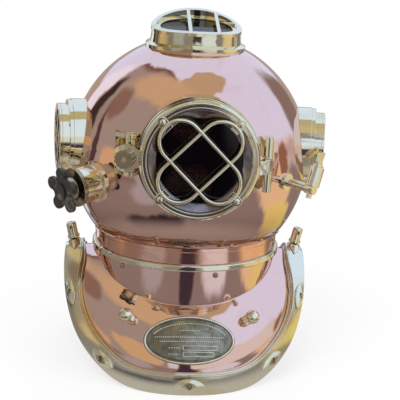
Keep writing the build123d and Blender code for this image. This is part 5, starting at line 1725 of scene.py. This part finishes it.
        wires.append(self.shop.wire("nameplate_bead", bead, 2.6, 2.6, Look.RAISED))
        piece = self.shop.joined("nameplate_dressed", [plate, pips, *wires])
        self.shop.done(piece, "breastplate", Look.PLATE, "nameplate")

    def frame_line(self, middle: float, right: float) -> tuple[Array, Array]:
        """Closed line of a bare frame on the plate.

        Args:
            middle: how far up the plate its middle is.
            right: where its right end is.

        Returns:
            Its places along and up the plate.
        """
        left, half = self.frame_left, self.frame_half_height
        corners = np.array([(left, -half), (right, -half), (right, half), (left, half)])
        steps = np.linspace(0, 1, 12, endpoint=False)
        sides = [a + (b - a) * steps[:, None] for a, b in zip(corners, np.roll(corners, -1, 0))]
        line = np.concatenate(sides)
        return line[:, 0], middle + line[:, 1]

    def pip_spots(self, seat: Matrix, start: Pair, lift: float) -> list[Matrix]:
        """Places of the pips: an arched row under the border and straight rows below it.

        Args:
            seat: the plate's seat.
            start: its turn and share.
            lift: how far off the saddle they stand.

        Returns:
            The places, in millimetres.
        """
        arch = np.linspace(*np.radians(self.arch_ends), self.arch_count)
        x = [(self.plate_half_length - self.arch_inset) * np.cos(arch)]
        y = [(self.plate_half_height - self.arch_inset) * np.sin(arch)]
        for height, left, right, count in self.pip_rows:
            x.append(np.linspace(left, right, count))
            y.append(np.full(count, height))
        turns, shares = FLANK.under(seat, start, np.concatenate(x), np.concatenate(y), lift)
        return [FLANK.seat(float(turn), float(share), lift) for turn, share in zip(turns, shares)]

    def ball_studs(self) -> None:
        """Two ball studs on stepped feet."""
        radius, centre = self.ball_radius, self.ball_centre
        corners = [
            Corner(0, -1.2, 0), Corner(7.0, -1.2, 0), Corner(7.0, 1.6, 0.7), Corner(5.6, 2.5, 0.6),
            Corner(4.4, 3.4, 0.4), Corner(4.2, centre - 7.7, 0.3),
        ]
        low = math.asin(4.2 / radius)
        for part in range(1, 25):
            angle = low + (math.pi - low) * part / 24
            corners.append(Corner(radius * math.sin(angle), centre - radius * math.cos(angle), 0))
        corners[-1] = Corner(0, centre + radius, 0)
        stud = turned(corners, closed=False, around=64)
        whole = Skin()
        for side in (1, -1):
            whole.join(stud.placed(FLANK.seat(side * self.ball_turn, self.ball_share)))
        self.shop.dressed("ball_studs", whole, Look.BRASS, "breastplate", "lanyard_studs")

    def collar(self) -> None:
        """Screws below the collar."""
        spots = []
        for index in range(self.screw_count):
            where = Port(self.first_screw + index * 360 / self.screw_count).matrix()
            shift = where.to_3x3() @ Vector((0, 0, FLANK.neck_radius))
            where.translation = Vector((shift.x, shift.y, self.screw_height))
            spots.append(where)
        piece = self.shop.fasteners(
            "collar_screws_slotted", self.screw.skin(), spots, Look.AGED, self.screw.slot
        )
        self.shop.done(piece, "breastplate", Look.BRASS, "collar_screws")

    def build(self) -> None:
        """Builds the breastplate."""
        self.saddle()
        self.rim()
        self.pads()
        self.studs()
        self.nameplate()
        self.ball_studs()
        self.collar()
        self.shop.carried("collar_ring", ease=0.35)
        for node in ("catch_bracket", "catch_pin", "safety_catch"):
            self.shop.carried(node, ease=0.25)
        for node in ("shoulder_nut_left", "shoulder_nut_right"):
            self.shop.carried(node, ease=0.35)


def outward(skin: Skin) -> Skin:
    """The skin with its faces turned round if they look inward.

    Args:
        skin: a closed skin.

    Returns:
        The same skin.
    """
    volume = 0.0
    for face in skin.faces:
        ring = skin.points[list(face)]
        for index in range(1, len(ring) - 1):
            volume += float(np.dot(ring[0], np.cross(ring[index], ring[index + 1])))
    if volume < 0:
        skin.faces = [tuple(reversed(face)) for face in skin.faces]
    return skin


# ---- bonnet


@dataclass
class Bonnet:
    """Spun dome with its neck band, rivets, windows and seats."""

    shop: Workshop
    rivet_count: int = 16
    rivet_elevation: float = -35.99
    screw_count: int = 6
    screw_ring: float = 46.1
    screw_reach: float = 163.0
    side_turn: float = 80.0
    window_rise: float = 22.0
    top_elevation: float = 70.0
    top_set_back: float = 29.0
    top_screws: tuple[Pair, ...] = (
        (-61.0, 0.0), (61.0, 0.0), (-35.0, 39.0), (35.0, 39.0), (-35.0, -39.0), (35.0, -39.0),
    )
    top_flange: float = 4.5
    rivet: Head = Head(3.0, 1.5, 1.5, 0.85)
    screw: Head = Head(2.15, 1.2, 1.0, 0.6, (0.6, 0.55))
    surface_gap: float = 0.02

    def shell(self) -> None:
        """Dome, with true round normals inside and out."""
        piece = self.shop.carried("bonnet_shell", Look.COPPER, ease=0)
        mesh = piece.data
        count = len(mesh.vertices)
        spots = np.zeros(count * 3)
        mesh.vertices.foreach_get("co", spots)
        out = spots.reshape(-1, 3) / MM - np.array((0.0, 0.0, DOME.centre))
        reach = np.linalg.norm(out, axis=1)
        radial = out / reach[:, None]
        normals = []
        for face in mesh.polygons:
            ring = [mesh.loops[index].vertex_index for index in face.loop_indices]
            if all(abs(reach[v] - DOME.radius) < self.surface_gap for v in ring):
                normals += [tuple(radial[v]) for v in ring]
            elif all(abs(reach[v] - DOME.radius + DOME.wall) < self.surface_gap for v in ring):
                normals += [tuple(-radial[v]) for v in ring]
            else:
                normals += [tuple(face.normal)] * len(ring)
        mesh.normals_split_custom_set(normals)

    def fasteners(self) -> None:
        """Rivets round the foot, and the slotted screws of the side and top windows."""
        spots = []
        for index in range(self.rivet_count):
            where = Port(index * 360 / self.rivet_count, self.rivet_elevation).matrix()
            where.translation += where.to_3x3() @ Vector((0, 0, DOME.radius))
            spots.append(where)
        piece = self.shop.fasteners("neck_rivet_row", self.rivet.skin(), spots, Look.BAND)
        self.shop.done(piece, "bonnet", Look.BAND, "neck_rivets")
        spots = []
        for side in (1, -1):
            seat = Port(side * self.side_turn, rise=self.window_rise).matrix()
            for index in range(self.screw_count):
                angle = math.radians((index + 0.5) * 360 / self.screw_count)
                x, y = self.screw_ring * math.cos(angle), self.screw_ring * math.sin(angle)
                where = seat.copy()
                where.translation = seat @ Vector((x, y, self.screw_reach))
                spots.append(where)
        seat = Port(0, self.top_elevation).matrix()
        for x, along in self.top_screws:
            y = along + self.top_set_back
            z = math.sqrt((DOME.radius + self.top_flange) ** 2 - x * x - y * y)
            normal = seat.to_3x3() @ Vector((x, y, z)).normalized()
            where = normal.to_track_quat("Z", "Y").to_matrix().to_4x4()
            where.translation = seat @ Vector((x, y, z))
            spots.append(where)
        piece = self.shop.fasteners(
            "window_screws_slotted", self.screw.skin(), spots, Look.BRASS, self.screw.slot
        )
        self.shop.done(piece, "bonnet", Look.BRASS, "window_screws")

    def build(self) -> None:
        """Builds the bonnet."""
        self.shell()
        self.fasteners()
        self.shop.carried("bonnet_neck_ring", Look.BAND, ease=0.35)
        for node in ("front_seat_ring", "hinge_lugs", "hinge_pin", "latch_lugs", "latch_pin"):
            self.shop.carried(node, ease=0.35)
        for side in ("left", "right"):
            for part, ease in (("seat", 0.35), ("bezel", 0.5), ("guard", 0.6), ("glass", 0.3)):
                self.shop.carried(f"{side}_window_{part}", ease=ease)
        for part, ease in (("frame", 0.5), ("retainer", 0.5), ("guard", 0.5), ("glass", 0.3)):
            self.shop.carried(f"top_window_{part}", ease=ease)


# ---- front window


@dataclass
class FrontWindow:
    """Door in front, with its glass, its guard of crossing loops and its swing bolt."""

    shop: Workshop
    port: Port = Port(0.0, rise=22.0)
    face: float = 174.5
    loop_width: float = 48.0
    loop_length: float = 113.0
    wire_width: float = 7.2
    wire_height: float = 5.0
    wire_lift: float = 2.6
    loop_step: float = 0.5
    tab_place: float = 62.5
    tab_radius: float = 6.0
    tab_half_width: float = 5.4
    tab_root: float = 50.5
    tab_thickness: float = 3.2
    screw: Head = Head(3.6, 2.0, 2.0, 0.6, (0.8, 0.9))
    beads: tuple[tuple[float, float, float], ...] = ((65.8, 2.2, 1.4), (61.3, 1.6, 1.0))
    bead_root: float = 0.6
    # Dark ring on the door's inner cone, which is painted shade: radius, lift off the face and rounding of
    # each corner.
    cone_shade: tuple[tuple[float, float, float], ...] = (
        (50.0, -4.8, 0), (50.0, -4.0, 0.2), (58.6, 0.2, 0.2), (59.4, -0.3, 0),
    )
    door_sides: int = 160

    def loop(self) -> Array:
        """Line of one loop, long along x.

        Returns:
            Its points, in millimetres.
        """
        half_run = (self.loop_length - self.loop_width) / 2
        radius = self.loop_width / 2
        points = []
        for side in (1, -1):
            for part in np.linspace(-math.pi / 2, math.pi / 2, 40):
                x, y = half_run + radius * math.cos(part), radius * math.sin(part)
                points.append((side * x, side * y, 0.0))
        return np.array(points)

    def tab(self) -> Skin:
        """Flat tab that runs out from a loop's end to a round end under its screw.

        Returns:
            The skin, without normals.
        """
        edge = [(self.tab_root, -self.tab_half_width)]
        for part in np.linspace(-math.pi / 2, math.pi / 2, 24):
            x = self.tab_place + self.tab_radius * math.cos(part)
            edge.append((x, self.tab_half_width * math.sin(part)))
        edge.append((self.tab_root, self.tab_half_width))
        return slab(edge, 0.0, self.tab_thickness)

    def guard(self) -> None:
        """Guard of two crossing loops with four tabs, and its screws."""
        seat = self.port.matrix()
        pieces = []
        for index, turn in enumerate((45, -45)):
            lift = self.face + self.wire_lift + index * self.loop_step
            where = seat @ Matrix.Translation((0, 0, lift)) @ Matrix.Rotation(math.radians(turn), 4, "Z")
            pieces.append(
                self.shop.wire(
                    f"guard_loop_{index}", self.loop(), self.wire_width, self.wire_height, Look.BRASS, where,
                    flat=0.95, steps=220,
                )
            )
        screws = []
        for index in range(4):
            turn = Matrix.Rotation(math.radians(45 + 90 * index), 4, "Z")
            where = seat @ Matrix.Translation((0, 0, self.face)) @ turn
            tab = self.shop.make(f"guard_tab_{index}", self.tab().placed(where), Look.BRASS)
            tab.data.set_sharp_from_angle(angle=math.radians(self.shop.sharp_angle))
            pieces.append(self.shop.eased(tab, 0.7, parts=3))
            screws.append(where @ Matrix.Translation((self.tab_place, 0, self.tab_thickness)))
        guard = self.shop.joined("guard_loops", pieces)
        self.shop.done(guard, "faceplate", Look.BRASS, "faceplate_guard")
        heads = self.shop.fasteners(
            "guard_screw_heads", self.screw.skin(), screws, Look.BRASS, self.screw.slot
        )
        self.shop.done(heads, "faceplate", Look.BRASS, "guard_screws")

    def door(self) -> None:
        """Door ring, with two raised beads turned on its face and a dark ring on its sight's cone, which is
        painted shade.
        """
        self.shop.carried("faceplate_ring", ease=0.4)
        beads = Skin()
        for radius, width, height in self.beads:
            inner, outer, fillet = radius - width / 2, radius + width / 2, width * 0.42
            foot = ((inner, -self.bead_root, 0), (outer, -self.bead_root, 0))
            beads.join(self.on_face((*foot, (outer, height, fillet), (inner, height, fillet))))
        for name, skin, look in (
            ("door_beads", beads, Look.BRASS),
            ("sight_lining", self.on_face(self.cone_shade), Look.LINING),
        ):
            self.shop.dressed(name, skin, look, "faceplate")

    def on_face(self, corners: Sequence[tuple[float, float, float]]) -> Skin:
        """Ring turned about the door's axis.

        Args:
            corners: its profile's radii, lifts off the door's face and roundings.

        Returns:
            The skin, in its place.
        """
        profile = [Corner(radius, self.face + lift, fillet) for radius, lift, fillet in corners]
        return turned(profile, around=self.door_sides).placed(self.port.matrix())

    def build(self) -> None:
        """Builds the front window."""
        self.door()
        self.guard()
        self.shop.carried("faceplate_glass", ease=0.3)
        self.shop.carried("faceplate_retainer", Look.AGED, ease=0.3)
        self.shop.carried("swing_bolt", ease=0.3)
        self.shop.carried("latch_nut", Look.AGED, ease=0.3)


@dataclass
class Valves:
    """Exhaust valve, spit cock and the two inlets behind."""

    shop: Workshop

    def build(self) -> None:
        """Builds the valves."""
        for node in ("exhaust_body", "exhaust_cap", "exhaust_stem", "chin_valve"):
            self.shop.carried(node, ease=0.3)
        self.shop.carried("exhaust_wheel", ease=0)
        self.shop.carried("spit_cock_body", Look.BRASS, ease=0.3)
        self.shop.carried("spit_cock_plug", ease=0.4)
        for node in ("air_elbow", "phone_elbow", "phone_gland", "air_check_flap"):
            self.shop.carried(node, ease=0.3)


# ---- studio


@dataclass(frozen=True)
class Viewpoint:
    """Camera of the photograph, as fitted to the dome and the rim."""

    distance: float = 1100.0
    height: float = 194.0
    yaw: float = 4.2
    roll: float = 2.8
    focal: float = 831.2
    frame: float = 400.0
    dome_x: float = -13.23
    dome_y: float = -45.41
    sensor: float = 36.0

    def place(self) -> Matrix:
        """Where the camera stands and looks.

        Returns:
            The place, in metres.
        """
        pan = self.dome_x / self.focal
        pitch = math.atan2(self.height, self.distance) - math.atan(self.dome_y / self.focal)
        ahead = Vector((-math.sin(pan) * math.cos(pitch), math.cos(pan) * math.cos(pitch), -math.sin(pitch)))
        right = Vector((math.cos(pan), math.sin(pan), 0.0))
        up = right.cross(ahead)
        lean = math.radians(self.roll)
        right, up = right * math.cos(lean) + up * math.sin(lean), up * math.cos(lean) - right * math.sin(lean)
        stand = Matrix((right, up, -ahead)).transposed().to_4x4()
        stand.translation = Vector((0, -self.distance, self.height)) * MM
        home = Matrix.Translation((0, 0, DOME.centre * MM)) @ Matrix.Rotation(math.radians(-self.yaw), 4, "Z")
        return home @ stand

    def make(self) -> Piece:
        """Makes the camera and gives it to the scene.

        Returns:
            The camera.
        """
        data = bpy.data.cameras.new("photo_camera")
        data.lens = self.focal / self.frame * self.sensor
        data.sensor_width = self.sensor
        camera = in_scene("photo_camera", data)
        camera.matrix_world = self.place()
        bpy.context.scene.camera = camera
        return camera


class Patch(NamedTuple):
    """Part of the surroundings that polished metal shows: where it is, how wide, and its colour."""

    turn: float
    elevation: float
    half_width: float
    half_height: float
    colour: Colour
    edge: float = 0.1


class Lamp(NamedTuple):
    """Large soft lamp: its name, its way and distance from the helmet, its size in metres and its power."""

    name: str
    turn: float
    elevation: float
    distance: float
    size: float
    power: float


@dataclass
class Studio:
    """Pale floor, soft lamps, and surroundings that the polished metal shows. Its floor is in metres."""

    floor_radius: float = 6.0
    floor_sides: int = 64
    floor_paint: Colour = (0.88, 0.88, 0.88)
    near_colour: Colour = (0.50, 0.47, 0.45)
    near_ends: Pair = (0.20, 0.32)
    fade_ends: Pair = (0.25, 0.70)
    fade_start: float = 0.72
    horizon: Pair = (-0.10, 0.06)
    wander: float = 0.34
    wander_scale: float = 2.3
    wander_detail: float = 4.0
    wander_roughness: float = 0.55
    lamps: tuple[Lamp, ...] = (
        Lamp("key_lamp", -35.0, 48.0, 1.9, 1.1, 16.0),
        Lamp("fill_lamp", 60.0, 30.0, 2.1, 1.2, 9.0),
        Lamp("back_lamp", 165.0, 50.0, 2.2, 1.2, 8.0),
    )
    lamp_height: float = 0.24
    eye_height: float = 230.0
    sky: Colour = (0.74, 0.90, 1.22)
    ground: Colour = (0.27, 0.245, 0.24)
    soft: Colour = (0.80, 0.79, 0.80)
    patches: tuple[Patch, ...] = (
        Patch(60.0, 3.0, 80.0, 11.0, (0.72, 0.76, 0.78), 0.35),
        Patch(180.0, 3.0, 89.0, 13.0, (0.46, 0.40, 0.36), 0.35),
        Patch(-72.0, 30.0, 63.0, 47.0, (0.20, 0.11, 0.08), 0.05),
        Patch(-71.0, 29.0, 60.0, 44.0, (0.37, 0.36, 0.34), 0.10),
        Patch(30.0, 76.0, 20.0, 13.0, (0.52, 0.46, 0.30), 0.12),
        Patch(-50.0, 64.0, 34.0, 15.0, (0.60, 0.50, 0.31), 0.45),
        Patch(-98.0, 34.0, 9.0, 13.0, (0.26, 0.19, 0.15), 0.5),
        Patch(-122.0, 4.0, 6.0, 36.0, (0.05, 0.035, 0.035), 0.35),
        Patch(-106.0, 2.0, 3.5, 26.0, (0.09, 0.06, 0.055), 0.4),
        Patch(-139.0, 6.0, 9.0, 40.0, (0.90, 1.05, 1.30), 0.3),
        Patch(-80.0, -8.0, 14.0, 10.0, (0.66, 0.50, 0.30), 0.4),
        Patch(-34.0, -44.0, 22.0, 9.0, (0.03, 0.025, 0.03), 0.4),
        Patch(-40.0, -16.0, 15.0, 12.0, (0.40, 0.42, 0.46), 0.4),
        Patch(-1.0, -13.0, 8.5, 24.0, (0.055, 0.04, 0.06), 0.25),
        Patch(28.0, -17.0, 16.0, 11.0, (0.72, 0.80, 0.92), 0.35),
        Patch(84.0, -18.0, 24.0, 14.0, (0.80, 0.66, 0.40), 0.35),
        Patch(-42.0, 7.0, 24.0, 9.0, (0.62, 0.50, 0.28), 0.35),
        Patch(104.0, -34.0, 22.0, 12.0, (0.80, 0.74, 0.26), 0.4),
        Patch(96.0, 0.0, 7.0, 9.0, (0.30, 0.17, 0.10), 0.5),
        Patch(132.0, 6.0, 14.0, 30.0, (0.26, 0.22, 0.20), 0.35),
    )

    def surroundings(self, wires: Wiring, way: Socket) -> Socket:
        """Colour of the surroundings in each direction.

        Args:
            wires: the world's nodes.
            way: the direction's socket.

        Returns:
            The colour's socket.
        """
        roughness = self.wander_roughness
        ragged = wires.noise(way, self.wander_scale, self.wander_detail, Roughness=roughness)[1]
        bent = wires.vector("SUBTRACT", ragged, (0.5, 0.5, 0.5))
        wandering = wires.vector("ADD", way, wires.vector("MULTIPLY", bent, (self.wander,) * 3))
        height = wires.node("ShaderNodeSeparateXYZ", {0: wandering}).outputs[2]
        colour = wires.blend(wires.step(height, *self.horizon), self.ground, self.sky)
        for patch in self.patches:
            where = Port(patch.turn, patch.elevation).matrix().to_3x3()
            parts = []
            for axis, half in ((where.col[0], patch.half_width), (where.col[1], patch.half_height)):
                across = wires.vector("DOT_PRODUCT", wandering, tuple(axis))
                share = wires.math("DIVIDE", across, math.sin(math.radians(half)))
                parts.append(wires.math("MULTIPLY", share, share))
            front = wires.vector("DOT_PRODUCT", wandering, tuple(where.col[2]))
            inside = wires.step(wires.math("ADD", *parts), 1.0 - patch.edge, 1.0 + patch.edge, 1.0, 0.0)
            shown = wires.math("MULTIPLY", inside, wires.step(front, 0.0, 0.05))
            colour = wires.blend(shown, colour, patch.colour)
        return colour

    def world(self) -> None:
        """World that is white to the camera, soft to dull surfaces, and surroundings to polished metal."""
        world = bpy.data.worlds.new("studio_world")
        bpy.context.scene.world = world
        world.use_nodes = True
        world.node_tree.nodes.clear()
        wires = Wiring(world.node_tree)
        way = wires.node("ShaderNodeTexCoord").outputs["Generated"]
        path = wires.node("ShaderNodeLightPath").outputs
        around = self.surroundings(wires, way)
        shiny = wires.math("MAXIMUM", path["Is Glossy Ray"], path["Is Transmission Ray"])
        colour = wires.blend(shiny, self.soft, around)
        colour = wires.blend(path["Is Camera Ray"], colour, WHITE)
        back = wires.output("ShaderNodeBackground", {"Color": colour, "Strength": 1.0})
        wires.node("ShaderNodeOutputWorld", {"Surface": back})

    def floor(self) -> None:
        """Pale floor, which keeps the helmet's shadow and fades to white for the camera further out.

        Polished metal sees its own colour near the helmet, and the surroundings beyond.
        """
        angles = np.linspace(0, 2 * math.pi, self.floor_sides, endpoint=False)
        ring = [(self.floor_radius * math.cos(a), self.floor_radius * math.sin(a), 0.0) for a in angles]
        mesh = bpy.data.meshes.new("studio_floor")
        mesh.from_pydata(ring, [], [tuple(range(self.floor_sides))])
        floor = in_scene("studio_floor", mesh)
        paint = bpy.data.materials.new("floor_paint")
        paint.use_nodes = True
        paint.node_tree.nodes.clear()
        wires = Wiring(paint.node_tree)
        place = wires.node("ShaderNodeTexCoord").outputs["Object"]
        far = wires.vector("LENGTH", place)
        path = wires.node("ShaderNodeLightPath").outputs
        way = wires.vector("NORMALIZE", wires.vector("SUBTRACT", place, (0.0, 0.0, self.eye_height * MM)))
        pale = wires.blend(wires.step(far, *self.near_ends), self.near_colour, self.surroundings(wires, way))
        plain = wires.output("ShaderNodeBsdfDiffuse", {"Color": (*self.floor_paint, 1.0)})
        glow = wires.output("ShaderNodeEmission", {"Color": wires.blend(path["Is Camera Ray"], pale, WHITE)})
        seen = wires.math("MAXIMUM", path["Is Camera Ray"], path["Is Transmission Ray"])
        faded = wires.math("MULTIPLY", seen, wires.step(far, *self.fade_ends, self.fade_start, 1.0))
        share = wires.math("MAXIMUM", faded, path["Is Glossy Ray"])
        mixed = wires.output("ShaderNodeMixShader", {0: share, 1: plain, 2: glow})
        wires.node("ShaderNodeOutputMaterial", {"Surface": mixed})
        mesh.materials.append(paint)

    def light(self) -> None:
        """Hangs the lamps, which polished metal doesn't show."""
        middle = Vector((0.0, 0.0, self.lamp_height))
        for lamp in self.lamps:
            data = bpy.data.lights.new(lamp.name, "AREA")
            data.energy, data.shape, data.size = lamp.power, "DISK", lamp.size
            out = Port(lamp.turn, lamp.elevation).matrix().to_3x3() @ Vector((0, 0, 1))
            hung = in_scene(lamp.name, data)
            hung.location = middle + out * lamp.distance
            hung.rotation_euler = out.to_track_quat("Z", "Y").to_euler()
            hung.visible_glossy = False

    def build(self) -> None:
        """Builds the studio."""
        Viewpoint().make()
        self.world()
        self.floor()
        self.light()
        bpy.context.scene.view_settings.view_transform = "Standard"


def main() -> None:
    """Builds the helmet over its frame, then the studio."""
    logging.basicConfig(level=logging.INFO, format="%(name)s: %(message)s")
    for spare in list(bpy.data.objects):
        bpy.data.objects.remove(spare)
    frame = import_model()
    shop = Workshop(frame)
    Studio().build()
    for part in (Breastplate(shop), Bonnet(shop), FrontWindow(shop), Valves(shop)):
        LOG.info("building %s", type(part).__name__)
        part.build()
    for node in sorted(shop.left):
        look = SLOT_LOOKS[shop.slots[node]]
        kept = frame["nodes"][node]
        kept.data.materials.clear()
        kept.data.materials.append(look.value.material())
        LOG.info("%s keeps its node's shape", node)


if __name__ == "__main__":
    main()
